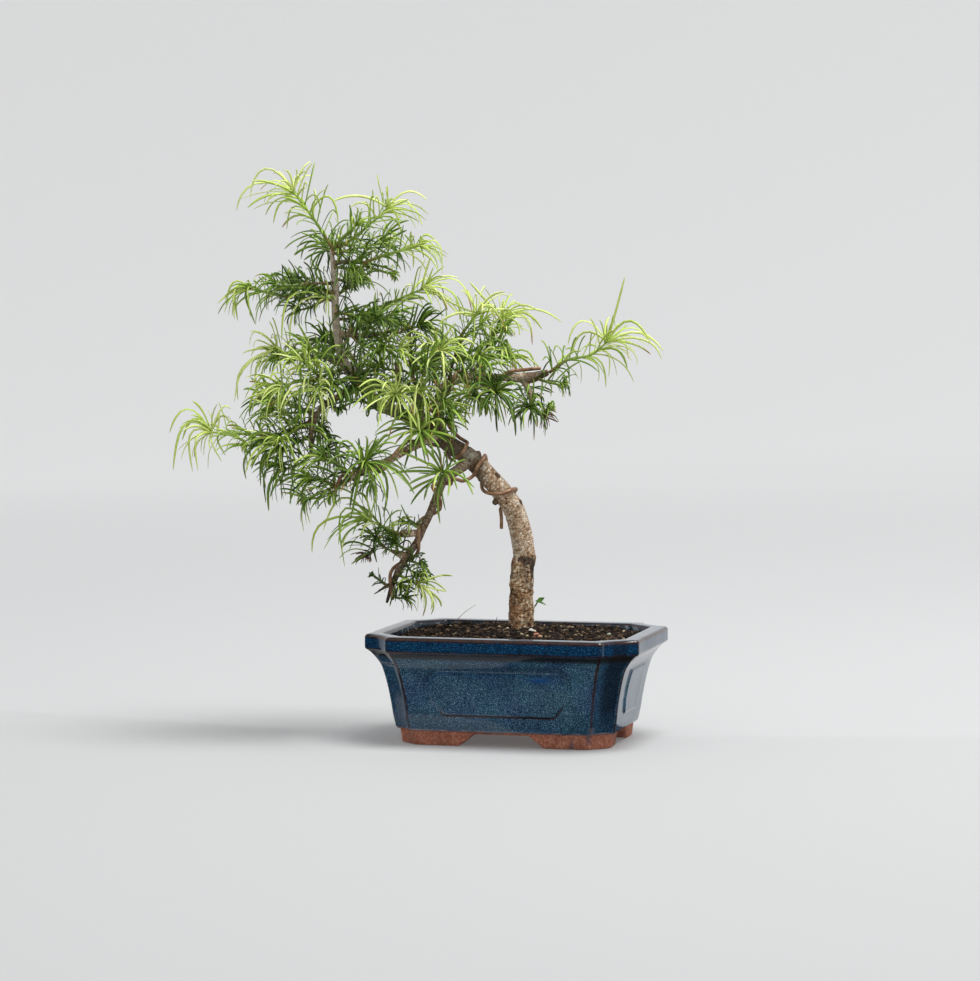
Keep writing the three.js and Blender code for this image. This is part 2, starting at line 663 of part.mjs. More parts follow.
// A gap between two feet, wider at the sole: along Y, or along X when turned
function footGap([topHalfWidth, soleHalfWidth], turn) {
  const slope = (soleHalfWidth - topHalfWidth) / footHeight;
  const lowHalfWidth = soleHalfWidth + slope * pastSurface;
  const outline = [
    [-lowHalfWidth, -pastSurface],
    [lowHalfWidth, -pastSurface],
    [topHalfWidth, footHeight],
    [-topHalfWidth, footHeight],
  ];
  const ringAt = (y) => {
    const turned = outline.map(([x, z]) => new THREE.Vector3(x, y, z));
    return turned.map((point) => point.applyAxisAngle(new THREE.Vector3(0, 0, 1), turn));
  };
  return loft([ringAt(rimLength), ringAt(-rimLength)]);
}

function makePot() {
  const wall = loft(outerProfile.map(potRing));
  const proud = loft(
    outerProfile.map(([inset, z, cut]) => potRing([inset - panelProud, z, cut])),
  );
  const narrowHalfWidth = panelHalfWidth - (rimLength - rimWidth) / 2;
  let panels = panelPrism(panelHalfWidth, 0).add(panelPrism(panelHalfWidth, Math.PI));
  panels = panels.add(panelPrism(narrowHalfWidth, Math.PI / 2));
  panels = panels.add(panelPrism(narrowHalfWidth, -Math.PI / 2));
  const aboveRim = [rimInset, potHeight + pastSurface, innerRimCorner];
  const cavity = loft([...innerProfile, aboveRim].map(potRing));
  const pocketInset = outerProfile[0][0] + footWidth;
  const pocketRings = [-pastSurface, footHeight].map((z) => potRing([pocketInset, z, pocketCorner]));
  let body = wall.add(proud.intersect(panels)).subtract(cavity).subtract(loft(pocketRings));
  body = body.subtract(footGap(longFootGap, 0)).subtract(footGap(shortFootGap, Math.PI / 2));
  for (const side of [-1, 1]) {
    const outline = circle((side * drainHoleSpacing) / 2, 0, drainHoleDiameter / 2, 12);
    body = body.subtract(prism(outline, 0, floorTop + pastSurface));
  }
  return geometryOf(body);
}

// Plastic mesh that keeps the soil from the drain holes: a plate with a grid of square openings
function makeScreen(x) {
  const low = floorTop + clearance;
  const plate = (half, from, to, dx, dy) =>
    prism(
      [
        [x + dx - half, dy - half],
        [x + dx + half, dy - half],
        [x + dx + half, dy + half],
        [x + dx - half, dy + half],
      ],
      from,
      to,
    );
  let screen = plate(screenSide / 2, low, low + screenThickness, 0, 0);
  const bottom = low - pastSurface;
  const top = low + screenThickness + pastSurface;
  for (const i of [-1, 0, 1]) {
    for (const j of [-1, 0, 1]) {
      const opening = plate(screenOpening / 2, bottom, top, i * screenPitch, j * screenPitch);
      screen = screen.subtract(opening);
    }
  }
  return geometryOf(screen);
}

// Soil: fills the cavity with the usual clearance, mounded towards the trunk, with small lumps
function makeSoil() {
  const outline = (inset, z, cut) => potRing([inset + clearance, z, cut]);
  const finer = (ring) =>
    ring.flatMap((point, j) => {
      const next = ring[(j + 1) % ring.length];
      const pieces = point.distanceTo(next) > longSide ? 4 : 1;
      return Array.from({ length: pieces }, (_, m) => point.clone().lerp(next, m / pieces));
    });
  const rings = innerProfile
    .filter(([, z]) => z < soilEdge - 2)
    .map(([inset, z, cut]) => finer(outline(inset, z === floorTop ? z + clearance : z, cut)));
  const edge = finer(outline(soilEdgeInset, soilEdge, soilEdgeCorner));
  for (const share of moundShares) {
    const ring = edge.map((point, j) => {
      const moved = point.clone().lerp(treeFoot, 1 - share);
      const lump = share < 1 ? soilLump * (wave(j, share) - 0.5) : 0;
      moved.z = soilEdge + (treeFoot.z - soilEdge) * (1 - share * share) + lump;
      return moved;
    });
    rings.push(ring);
  }
  let body = loft(rings);
  const trunkHole = circle(treeFoot.x, treeFoot.y, trunkHoleRadius, 16);
  const aboveSoil = treeFoot.z + 20;
  body = body.subtract(prism(trunkHole, treeFoot.z - buriedDepth - clearance, aboveSoil));
  const sproutFoot = vector([...sproutStem[0]]).applyAxisAngle(new THREE.Vector3(0, 0, 1), treeTurn);
  const [sproutX, sproutY] = [treeFoot.x + sproutFoot.x, treeFoot.y + sproutFoot.y];
  const sproutHole = circle(sproutX, sproutY, sproutHoleRadius, 8);
  body = body.subtract(prism(sproutHole, treeFoot.z + sproutFoot.z - clearance, aboveSoil));
  for (const side of [-1, 1]) {
    const half = screenSide / 2 + clearance;
    const x = (side * drainHoleSpacing) / 2;
    const outlineOver = [[x - half, -half], [x + half, -half], [x + half, half], [x - half, half]];
    const top = floorTop + screenThickness + 2 * clearance;
    body = body.subtract(prism(outlineOver, floorTop - pastSurface, top));
  }
  return geometryOf(body);
}

function splineThrough(points) {
  return new THREE.CatmullRomCurve3(points, false, "catmullrom", 0.5);
}

// A round body of changing radius along stations of {point, direction, radius}
function tube(stations, sides) {
  let normal = new THREE.Vector3(0, -1, 0.2);
  const rings = stations.map(({ point, direction, radius }) => {
    normal = normal.clone().addScaledVector(direction, -normal.dot(direction)).normalize();
    const across = direction.clone().cross(normal);
    return Array.from({ length: sides }, (_, j) => {
      const angle = (2 * Math.PI * j) / sides;
      const corner = point.clone().addScaledVector(normal, radius * Math.cos(angle));
      return corner.addScaledVector(across, radius * Math.sin(angle));
    });
  });
  return loft(rings);
}

// Stations along a limb, closer together where it is thin, with a rounded end
function limbStations(rows) {
  const curve = splineThrough(rows.map(vector));
  const stations = [];
  const spans = rows.length - 1;
  const station = (u) => {
    const j = Math.min(Math.floor(u), spans - 1);
    const radius = THREE.MathUtils.lerp(rows[j][3], rows[j + 1][3], u - j);
    return { point: curve.getPoint(u / spans), direction: curve.getTangent(u / spans), radius };
  };
  for (let j = 0; j < spans; j++) {
    const gap = vector(rows[j]).distanceTo(vector(rows[j + 1]));
    const pieces = Math.ceil(gap / Math.max(7, rows[j][3] * 2));
    for (let m = 0; m < pieces; m++) {
      stations.push(station(j + m / pieces));
    }
  }
  const end = station(spans);
  const tip = end.point.clone().addScaledVector(end.direction, end.radius * 0.5);
  stations.push(end, { point: tip, direction: end.direction, radius: end.radius * 0.6 });
  return stations;
}

function sidesFor(radius) {
  if (radius > 4) return 10;
  return radius > 2.2 ? 7 : 5;
}

// Straight pieces with a radius at each end, kept of all that later pieces have to clear
function barsAlong(stations, owner) {
  return stations.slice(1).map((station, j) => {
    const last = stations[j];
    const half = last.point.distanceTo(station.point) / 2;
    const middle = last.point.clone().lerp(station.point, 0.5);
    const reach = half + Math.max(last.radius, station.radius);
    const endsFlat = j === stations.length - 2;
    const ends = { a: last.point, b: station.point, ra: last.radius, rb: station.radius, endsFlat };
    return { ...ends, middle, reach, owner };
  });
}

// Where a point projects onto a bar, and its distance from the bar's surface. The last bar of a
// limb ends flat, and the others run on into the next one.
function pointToBar(point, bar) {
  const along = bar.b.clone().sub(bar.a);
  const share = point.clone().sub(bar.a).dot(along) / along.lengthSq();
  const t = THREE.MathUtils.clamp(share, 0, 1);
  const foot = bar.a.clone().addScaledVector(along, t);
  const radius = THREE.MathUtils.lerp(bar.ra, bar.rb, t);
  if (bar.endsFlat && share > 1) {
    const onAxis = bar.a.clone().addScaledVector(along, share);
    const outside = Math.max(0, onAxis.distanceTo(point) - radius);
    return { foot, gap: Math.hypot(onAxis.distanceTo(bar.b), outside) };
  }
  return { foot, gap: foot.distanceTo(point) - radius };
}

function nearestOf(point, bars) {
  let nearest = { gap: Infinity };
  for (const bar of bars) {
    if (bar.middle.distanceTo(point) - bar.reach < nearest.gap) {
      const found = pointToBar(point, bar);
      if (found.gap < nearest.gap) nearest = found;
    }
  }
  return nearest;
}

// Gap between the surfaces of two bars, from the closest points of their axes
function barGap(p, q) {
  const d1 = p.b.clone().sub(p.a);
  const d2 = q.b.clone().sub(q.a);
  const r = p.a.clone().sub(q.a);
  const a = d1.lengthSq();
  const e = d2.lengthSq();
  const b = d1.dot(d2);
  const c = d1.dot(r);
  const f = d2.dot(r);
  const parallel = a * e - b * b;
  let s = parallel > 1e-9 ? THREE.MathUtils.clamp((b * f - c * e) / parallel, 0, 1) : 0;
  let t = (b * s + f) / e;
  if (t < 0 || t > 1) {
    t = THREE.MathUtils.clamp(t, 0, 1);
    s = THREE.MathUtils.clamp((b * t - c) / a, 0, 1);
  }
  const onP = p.a.clone().addScaledVector(d1, s);
  const onQ = q.a.clone().addScaledVector(d2, t);
  const radii = THREE.MathUtils.lerp(p.ra, p.rb, s) + THREE.MathUtils.lerp(q.ra, q.rb, t);
  return onP.distanceTo(onQ) - radii;
}

const woodStations = Object.fromEntries(
  Object.entries(limbs).map(([name, rows]) => [name, limbStations(rows)]),
);
const woodBars = Object.values(woodStations).flatMap((stations) => barsAlong(stations, "wood"));

// One body: every limb grows out of the one that its first row lies in
function makeWood() {
  const bodies = Object.entries(woodStations).map(([name, stations]) =>
    tube(stations, sidesFor(limbs[name][0][3])),
  );
  return geometryOf(bodies.reduce((whole, body) => whole.add(body)));
}

// Points of a wire wound round a limb, through rows of [share of its length, angle in turns].
// Turns count from the side that faces the viewer, towards the right of one looking along it.
function windings(name, rows) {
  const curve = splineThrough(limbs[name].map(vector));
  return rows.flatMap(([share, turn], j) => {
    const [nextShare, nextTurn] = rows[j + 1] ?? [share, turn];
    const pieces = Math.max(1, Math.round(Math.abs(nextTurn - turn) * 8));
    return Array.from({ length: pieces }, (_, m) => {
      const shareHere = THREE.MathUtils.lerp(share, nextShare, m / pieces);
      return besideLimb(curve, shareHere, THREE.MathUtils.lerp(turn, nextTurn, m / pieces));
    });
  });
}

function besideLimb(curve, share, turn) {
  const point = curve.getPointAt(share);
  const direction = curve.getTangentAt(share);
  const front = new THREE.Vector3(0, -1, 0);
  front.addScaledVector(direction, -front.dot(direction)).normalize();
  const side = direction.clone().cross(front);
  const radius = -nearestOf(point, woodBars).gap + wireRadius + wireGap;
  point.addScaledVector(front, radius * Math.cos(2 * Math.PI * turn));
  return point.addScaledVector(side, radius * Math.sin(2 * Math.PI * turn));
}

const wireGap = clearance + 0.15; // the wire's straight pieces cut a little inside its curve
const wireStep = 3.2;

// A wire through the points, pushed out of the wood wherever it, or the straight piece from
// one of its stations to the next, would enter it
function wireStations(points) {
  const curve = splineThrough(points);
  const count = Math.ceil(curve.getLength() / wireStep);
  const route = curve.getSpacedPoints(count);
  for (let round = 0; round < 8; round++) {
    for (let j = 0; j < route.length; j++) {
      const next = route[j + 1] ?? route[j];
      for (const point of [route[j].clone(), route[j].clone().lerp(next, 0.5)]) {
        const { foot, gap } = nearestOf(point, woodBars);
        const missing = Math.max(0, wireRadius + wireGap - gap);
        const outward = point.clone().sub(foot).normalize();
        route[j].addScaledVector(outward, missing);
        if (next !== route[j] && !point.equals(route[j])) next.addScaledVector(outward, missing / 2);
      }
    }
  }
  return route.map((point, j) => {
    const before = route[Math.max(j - 1, 0)];
    const after = route[Math.min(j + 1, count)];
    return { point, direction: after.clone().sub(before).normalize(), radius: wireRadius };
  });
}

const wires = {
  wire_trunk_to_hanging_branch: wireStations([
    vector([-10.9, -1, 55.7]),
    vector([-10.9, -1, 61]),
    vector([-11.2, 0, 65]),
    ...windings("trunk", [
      [0.3, -0.3],
      [0.321, -0.75],
      [0.334, -1],
      [0.362, -1.25],
      [0.412, -1.75],
      [0.408, -2],
      [0.4, -2.12],
    ]),
    vector([-28.5, -10.5, 84.6]),
    vector([-32.5, -12.5, 83]),
    vector([-36.6, -14.5, 84.4]),
    ...windings("hang", [
      [0.17, -0.1],
      [0.295, -1],
      [0.584, -2],
      [0.905, -3],
      [0.97, -3.2],
    ]),
  ]),
  wire_left_branch_to_right_branch: wireStations([
    ...windings("left", [
      [0.95, -2.4],
      [0.8, -1.75],
      [0.7, -1],
      [0.64, -0.75],
      [0.55, -0.25],
      [0.46, 0],
      [0.29, 0.25],
      [0.17, 0.45],
    ]),
    ...windings("trunk", [
      [0.49, -0.4],
      [0.462, -0.25],
      [0.446, 0],
      [0.45, 0.2],
      [0.47, 0.25],
    ]),
    ...windings("right", [
      [0.12, 0.25],
      [0.2, 0],
      [0.43, -1],
      [0.62, -1.75],
      [0.82, -2.25],
      [0.97, -2.2],
    ]),
  ]),
};
const wireBars = Object.values(wires).flatMap((stations) => barsAlong(stations, "wire"));

// Small leaf shape: a rounded blade, thicker than it looks, out from a point
function blade(root, heading, length, width, thickness) {
  const count = 8;
  const across = heading.clone().cross(new THREE.Vector3(0, 0, 1)).normalize();
  const face = across.clone().cross(heading).normalize();
  const shares = [0.04, 0.3, 0.6, 0.85, 0.98];
  const rings = shares.map((share) => {
    const half = Math.sin(Math.PI * share ** 0.8);
    const middle = root.clone().addScaledVector(heading, length * share);
    return Array.from({ length: count }, (_, j) => {
      const angle = (2 * Math.PI * j) / count;
      const corner = middle.clone();
      corner.addScaledVector(across, (half * width * Math.cos(angle)) / 2 + 0.01);
      return corner.addScaledVector(face, -((0.4 + 0.6 * half) * thickness * Math.sin(angle)) / 2);
    });
  });
  return loft(rings);
}

function makeSprout() {
  const curve = splineThrough(sproutStem.map(vector));
  const stations = [0, 0.25, 0.5, 0.75, 1].map((share) => ({
    point: curve.getPointAt(share),
    direction: curve.getTangentAt(share),
    radius: 0.55,
  }));
  let body = tube(stations, 6);
  const tip = stations[4].point;
  const back = stations[4].direction;
  for (const [heading, length, width] of sproutLeaves) {
    const root = tip.clone().addScaledVector(back, -0.4);
    body = body.add(blade(root, vector(heading).normalize(), length, width, 0.9));
  }
  return geometryOf(body);
}

// The corners of a stem's ring at a share of its route
function stemCorners(curve, share, reference, turn) {
  const point = curve.getPointAt(share);
  const direction = curve.getTangentAt(share);
  const side = direction.clone().cross(reference).normalize();
  const up = direction.clone().cross(side);
  const radius = THREE.MathUtils.lerp(stemRadius[0], stemRadius[1], share);
  const corners = [0, 1, 2].map((j) => {
    const angle = THREE.MathUtils.degToRad(turn + 120 * j);
    const corner = point.clone().addScaledVector(side, radius * Math.cos(angle));
    return corner.addScaledVector(up, radius * Math.sin(angle));
  });
  return { point, direction, side, up, radius, corners };
}

// Where a stem starts, as a share of its route: past everything solid that it comes out of
function startOfStem(curve, reference, solids) {
  const step = 0.2 / curve.getLength();
  let start = 0;
  for (let share = 0; share < 0.8; share += step) {
    const { point, corners } = stemCorners(curve, share, reference, 0);
    const tooNear = [point, ...corners].some((at) => nearestOf(at, solids).gap < clearance);
    if (tooNear) start = share + step;
  }
  return start;
}

// The stem of a spray is a slim three-sided core, each ring of corners turned against the last.
// Its triangular faces are where needles grow out; the last one is its end.
function makeCore(name, rule, index, solids) {
  const first = vector(rule.stem[0]);
  const { foot } = nearestOf(first, woodBars);
  const route = rule.stem.map(vector);
  if (foot.distanceTo(first) > 1) route.unshift(foot);
  const curve = splineThrough(route);
  const overall = curve.getPointAt(1).sub(curve.getPointAt(0)).normalize();
  const upright = Math.abs(overall.z) >= 0.75;
  const reference = upright ? new THREE.Vector3(0.25, 1, 0) : new THREE.Vector3(0, 0, 1);
  const start = startOfStem(curve, reference, solids);
  const steps = Math.max(2, Math.round(((1 - start) * curve.getLength()) / stepLength));
  const rings = Array.from({ length: steps + 1 }, (_, i) => {
    const share = Math.min(1, start + ((1 - start) * i) / steps);
    return stemCorners(curve, share, reference, twistPerStep * i);
  });
  const faces = [];
  for (let i = 0; i < steps; i++) {
    const below = rings[i].corners;
    const above = rings[i + 1].corners;
    for (let j = 0; j < 3; j++) {
      const k = (j + 1) % 3;
      faces.push(makeFace(i, 2 * j, [below[j], below[k], above[j]]));
      faces.push(makeFace(i, 2 * j + 1, [below[k], above[k], above[j]]));
    }
  }
  faces.push(makeFace(steps, 0, rings[steps].corners));
  const base = makeFace(-1, 0, [...rings[0].corners].reverse());
  return { name, rule, index, curve, rings, faces, base, steps, bars: barsAlong(rings, name) };
}

function makeFace(ring, side, points) {
  const shape = facet(points);
  return { ring, side, points, root: shape.middle, outward: shape.normal, facets: [shape] };
}

// A triangle with its middle, reach and outward direction
function facet(points) {
  const [a, b, c] = points;
  const middle = a.clone().add(b).add(c).divideScalar(3);
  const reach = Math.max(...points.map((point) => point.distanceTo(middle)));
  const normal = b.clone().sub(a).cross(c.clone().sub(a)).normalize();
  return { points, middle, reach, normal };
}

function edgeGoesThrough(edges, { points, normal }) {
  const touching = 1e-4;
  return edges.some((start, j) => {
    const end = edges[(j + 1) % 3];
    const before = normal.dot(start) - normal.dot(points[0]);
    const after = normal.dot(end) - normal.dot(points[0]);
    if (before * after >= 0 || Math.abs(before) < touching || Math.abs(after) < touching) return false;
    const hit = start.clone().lerp(end, before / (before - after));
    return points.every((corner, n) => {
      const along = points[(n + 1) % 3].clone().sub(corner);
      return along.cross(hit.clone().sub(corner)).dot(normal) > -touching;
    });
  });
}

function facetsCross(p, q) {
  if (p.middle.distanceTo(q.middle) > p.reach + q.reach) return false;
  return edgeGoesThrough(p.points, q) || edgeGoesThrough(q.points, p);
}

// A needle's middle line from its root: straight along heading, drooping with the square of the
// way along, at the given shares of its length
function droopingLine(root, heading, length, droop, shares) {
  return shares.map((t) => {
    const point = root.clone().addScaledVector(heading, length * t);
    point.z -= length * droop * t * t;
    return point;
  });
}

// A needle's middle line to a known tip: an arc whose middle stands rise above the straight line
function arcLine(root, tip, rise, shares) {
  return shares.map((t) => {
    const point = root.clone().lerp(tip, t);
    point.z += 4 * rise * t * (1 - t);
    return point;
  });
}

function sharesFor(length) {
  return length > longNeedle ? [0.36, 0.7, 1] : [0.45, 1];
}

function needleBars(face, line, owner) {
  const radii = [needleRadius, needleRadius * 0.85];
  const stations = [{ point: face.root, radius: needleRadius }];
  line.forEach((point, j) => {
    stations.push({ point, radius: j === line.length - 1 ? 0 : radii[j] });
  });
  return barsAlong(stations, owner).map((bar, j) => ({ ...bar, piece: j, root: face.root }));
}

// Whether a needle's bars stay clear of all wood, wires, stems and needles. Within one spray
// only the outer half of a needle's first piece counts, because neighbours share a corner.
function staysClear(bars, solids, spray) {
  const outerHalf = (bar) => {
    const middle = bar.a.clone().lerp(bar.b, 0.5);
    return { ...bar, a: middle };
  };
  for (const bar of bars) {
    for (const other of solids) {
      if (bar.middle.distanceTo(other.middle) > bar.reach + other.reach + 1) continue;
      if (other.owner !== spray.name) {
        if (barGap(bar, other) < clearance) return false;
        continue;
      }
      const isStem = other.piece === undefined;
      if (isStem && bar.piece === 0) continue;
      const neighbours = bar.piece === 0 && other.piece === 0;
      const gap = neighbours ? barGap(outerHalf(bar), outerHalf(other)) : barGap(bar, other);
      if (gap < clearance / 2) return false;
    }
  }
  return true;
}

// The free faces near a ring that look along the heading, the best first
function facesFor(spray, ring, reach, heading) {
  const near = spray.faces.filter(
    (face) => !face.needle && Math.abs(face.ring + 0.5 - ring) <= reach,
  );
  const looking = near.filter((face) => face.outward.dot(heading) > 0.25);
  looking.sort((p, q) => q.outward.dot(heading) - p.outward.dot(heading));
  return looking.slice(0, 4);
}

// Draws a needle out of a face along the line, if it clears everything
function grow(spray, face, line, solids) {
  const firstHeading = line[0].clone().sub(face.root).normalize();
  if (firstHeading.dot(face.outward) < 0.2) return false;
  const bars = needleBars(face, line, spray.name);
  if (!staysClear(bars, solids, spray)) return false;
  const facets = needleFacets(face, line);
  const others = [spray.base, ...spray.faces].filter((other) => other !== face);
  const standing = [...others.flatMap((other) => other.facets), ...facets];
  if (facets.some((own) => standing.some((other) => facetsCross(own, other)))) return false;
  face.needle = line;
  face.facets = facets;
  solids.push(...bars);
  return true;
}

// The long needles of the outline. One that would touch something is bent to the front or back.
function growTraced(spray, solids) {
  for (const [share, across, depth, up, rise] of spray.rule.traced ?? []) {
    const from = spray.curve.getPointAt(share);
    [0, 3, -3, 6, -6, 9, -9].some((shift) => {
      const tip = new THREE.Vector3(across, depth + shift, up);
      const shares = sharesFor(tip.distanceTo(from));
      const heading = arcLine(from, tip, rise, shares)[0].sub(from).normalize();
      return facesFor(spray, share * spray.steps, 1.6, heading).some((face) =>
        grow(spray, face, arcLine(face.root, tip, rise, shares), solids),
      );
    });
  }
}

// A heading at an angle to the stem, turned round it
function leaning(ring, turn, lean) {
  const heading = ring.direction.clone().multiplyScalar(Math.cos(lean));
  heading.addScaledVector(ring.side, Math.sin(lean) * Math.cos(turn));
  return heading.addScaledVector(ring.up, Math.sin(lean) * Math.sin(turn));
}

function growRosette(spray, solids) {
  const count = spray.rule.rosette ?? usualRosette;
  const end = spray.rings[spray.steps];
  for (let j = 0; j < count; j++) {
    const seed = spray.index * 1000 + 900 + j;
    const length = spray.rule.length[1] * (0.8 + 0.35 * wave(seed, 3));
    [0, 1, 2, 3].some((attempt) => {
      const turn = (2 * Math.PI * (j + 0.3 * wave(seed, 1) + 0.3 * attempt)) / count + spray.index;
      const lean = THREE.MathUtils.degToRad(20 + 45 * wave(seed, 2) + 8 * attempt);
      const heading = leaning(end, turn, lean);
      const droop = 0.35 * (0.6 + 0.8 * wave(seed, 4));
      return facesFor(spray, spray.steps, 1.6, heading).some((face) => {
        const line = droopingLine(face.root, heading, length, droop, sharesFor(length));
        return grow(spray, face, line, solids);
      });
    });
  }
}

function growSides(spray, solids) {
  const [leanBase, leanTip] = spray.rule.lean ?? usualLean;
  const [lengthBase, lengthTip] = spray.rule.length;
  for (const face of spray.faces) {
    if (face.needle || face.side % 2 === 1 || face.ring === spray.steps) continue;
    const share = (face.ring + 1 / 3) / spray.steps;
    const seed = spray.index * 1000 + face.ring * 10 + face.side;
    const ring = spray.rings[face.ring];
    [0, 1, -1, 2, -2].some((attempt) => {
      const jitter = 30 * (wave(seed, 1) - 0.5) + 12 * attempt;
      const turn = THREE.MathUtils.degToRad(twistPerStep * face.ring + 60 * face.side + 62.5 + jitter);
      const leanHere = THREE.MathUtils.lerp(leanBase, leanTip, share) + 16 * (wave(seed, 2) - 0.5);
      const heading = leaning(ring, turn, THREE.MathUtils.degToRad(leanHere));
      const below = heading.z < -0.3 ? 0.8 : 1;
      const usual = THREE.MathUtils.lerp(lengthBase, lengthTip, share);
      const length = usual * (0.8 + 0.4 * wave(seed, 3)) * below;
      const droop = THREE.MathUtils.lerp(0.25, 0.35, share) * (0.6 + 0.8 * wave(seed, 4));
      const line = droopingLine(face.root, heading, length, droop, sharesFor(length));
      return grow(spray, face, line, solids);
    });
  }
}

// Three corners round a point of a needle, turned to match the face that it grows from
function needleRing(face, point, heading, radius) {
  const first = face.points[0].clone().sub(face.root);
  const e1 = first.addScaledVector(heading, -first.dot(heading)).normalize();
  const e2 = heading.clone().cross(e1);
  let x = 0;
  let y = 0;
  face.points.forEach((corner, j) => {
    const arm = corner.clone().sub(face.root);
    const angle = Math.atan2(arm.dot(e2), arm.dot(e1)) - (2 * Math.PI * j) / 3;
    x += Math.cos(angle);
    y += Math.sin(angle);
  });
  const turn = Math.atan2(y, x);
  return [0, 1, 2].map((j) => {
    const angle = turn + (2 * Math.PI * j) / 3;
    const corner = point.clone().addScaledVector(e1, radius * Math.cos(angle));
    return corner.addScaledVector(e2, radius * Math.sin(angle));
  });
}

// The walls of a needle: from its face through a ring of corners at each bend to its tip
function needleFacets(face, line) {
  const tip = line[line.length - 1];
  const facets = [];
  let below = face.points;
  let last = face.root;
  line.slice(0, -1).forEach((point, n) => {
    const heading = line[n + 1].clone().sub(last).normalize();
    const ring = needleRing(face, point, heading, n === 0 ? needleRadius : needleRadius * 0.85);
    for (const j of [0, 1, 2]) {
      const k = (j + 1) % 3;
      facets.push(facet([below[j], below[k], ring[k]]), facet([below[j], ring[k], ring[j]]));
    }
    below = ring;
    last = point;
  });
  for (const j of [0, 1, 2]) {
    facets.push(facet([below[j], below[(j + 1) % 3], tip]));
  }
  return facets;
}

// The core with every needle drawn out of its face: one closed surface
function sprayGeometry(spray) {
  const indices = new Map();
  const triangles = [spray.base, ...spray.faces].flatMap((face) =>
    face.facets.flatMap(({ points }) =>
      points.map((point) => {
        if (!indices.has(point)) indices.set(point, indices.size);
        return indices.get(point);
      }),
    ),
  );
  const positions = [...indices.keys()].flatMap((point) => point.toArray());
  return geometryOf(solid(positions, triangles));
}

function makeSprays() {
  const solids = [...woodBars, ...wireBars];
  const cores = Object.entries(sprays).map(([name, rule], index) => {
    const core = makeCore(name, rule, index, solids);
    solids.push(...core.bars);
    return core;
  });
  cores.forEach((core) => growTraced(core, solids));
  cores.forEach((core) => growRosette(core, solids));
  cores.forEach((core) => growSides(core, solids));
  return cores;
}

const part = new THREE.Group();
const tree = new THREE.Group();
tree.position.copy(treeFoot);
tree.rotation.z = treeTurn;
part.add(tree);

function place(parent, name, geometry, material) {
  const mesh = new THREE.Mesh(geometry, material);
  mesh.name = name;
  parent.add(mesh);
}

place(part, "pot", makePot(), materials.glaze);
place(part, "drain_screen_left", makeScreen(-drainHoleSpacing / 2), materials.screen);
place(part, "drain_screen_right", makeScreen(drainHoleSpacing / 2), materials.screen);
place(part, "soil", makeSoil(), materials.soil);
place(tree, "trunk_and_branches", makeWood(), materials.bark);
for (const [name, stations] of Object.entries(wires)) {
  place(tree, name, geometryOf(tube(stations, 6)), materials.wire);
}
place(tree, "sprout", makeSprout(), materials.sprout);
for (const spray of makeSprays()) {
  const material = brightSprays.has(spray.name) ? materials.brightNeedles : materials.darkNeedles;
  place(tree, `spray_${spray.name}`, sprayGeometry(spray), material);
}

// The origin goes under the middle of everything
part.updateMatrixWorld(true);
const bounds = new THREE.Box3().setFromObject(part, true);
const middle = bounds.getCenter(new THREE.Vector3());
part.position.set(-middle.x, -middle.y, -bounds.min.z);

export default part;
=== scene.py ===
import math
from functools import partial
import bpy
import numpy as np
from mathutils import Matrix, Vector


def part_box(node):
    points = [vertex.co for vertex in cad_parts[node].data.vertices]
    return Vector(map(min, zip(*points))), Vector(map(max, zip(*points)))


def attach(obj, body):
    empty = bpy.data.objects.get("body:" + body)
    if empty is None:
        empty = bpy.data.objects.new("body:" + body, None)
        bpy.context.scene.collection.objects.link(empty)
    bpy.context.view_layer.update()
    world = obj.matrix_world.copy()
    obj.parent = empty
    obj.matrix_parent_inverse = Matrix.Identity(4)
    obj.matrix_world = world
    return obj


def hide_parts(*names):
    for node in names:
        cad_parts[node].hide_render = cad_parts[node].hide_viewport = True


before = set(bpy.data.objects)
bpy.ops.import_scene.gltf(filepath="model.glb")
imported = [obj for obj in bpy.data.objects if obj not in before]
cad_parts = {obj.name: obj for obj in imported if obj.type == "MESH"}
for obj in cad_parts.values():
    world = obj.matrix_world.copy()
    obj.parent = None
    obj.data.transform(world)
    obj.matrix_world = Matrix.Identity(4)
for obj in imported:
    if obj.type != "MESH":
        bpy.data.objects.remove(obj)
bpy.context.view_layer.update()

# Golden larch bonsai in a glazed pot. Shapes are worked out in millimetres, in the frame of the
# CAD part, and turned to metres when a mesh is made.
metre = 0.001
potLow, potHigh = (np.array(corner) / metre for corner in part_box("pot"))
potMiddle = np.array([(potLow[0] + potHigh[0]) / 2, (potLow[1] + potHigh[1]) / 2, potLow[2]])

cameraView = {
    "fromPot": (493.0, -2061.3, 273.0),  # mm from the middle of the pot's sole
    "turn": 13.87,  # degrees to the left of +Y
    "down": 3.613,
    "focalPixels": 3806.0,
    "imageWidth": 980,
    "sensor": 36.0,
}


def makeCamera():
    data = bpy.data.cameras.new("camera")
    data.sensor_fit = "HORIZONTAL"
    data.sensor_width = cameraView["sensor"]
    data.lens = cameraView["focalPixels"] / cameraView["imageWidth"] * cameraView["sensor"]
    data.clip_start = 0.05
    data.clip_end = 50
    camera = bpy.data.objects.new("camera", data)
    camera.location = (potMiddle + cameraView["fromPot"]) * metre
    camera.rotation_euler = (
        math.radians(90 - cameraView["down"]), 0, math.radians(cameraView["turn"])
    )
    bpy.context.scene.collection.objects.link(camera)
    bpy.context.scene.camera = camera


makeCamera()
bpy.context.scene.view_settings.view_transform = "Standard"
print("camera placed")


# Colours, nodes and meshes

def linear(hexColour):
    # an sRGB colour such as "8a5a3c" as linear red, green, blue and 1
    digits = hexColour.lstrip("#")
    parts = np.array([int(digits[k:k + 2], 16) / 255 for k in (0, 2, 4)])
    parts = np.where(parts <= 0.04045, parts / 12.92, ((parts + 0.055) / 1.055) ** 2.4)
    return (*parts, 1.0)


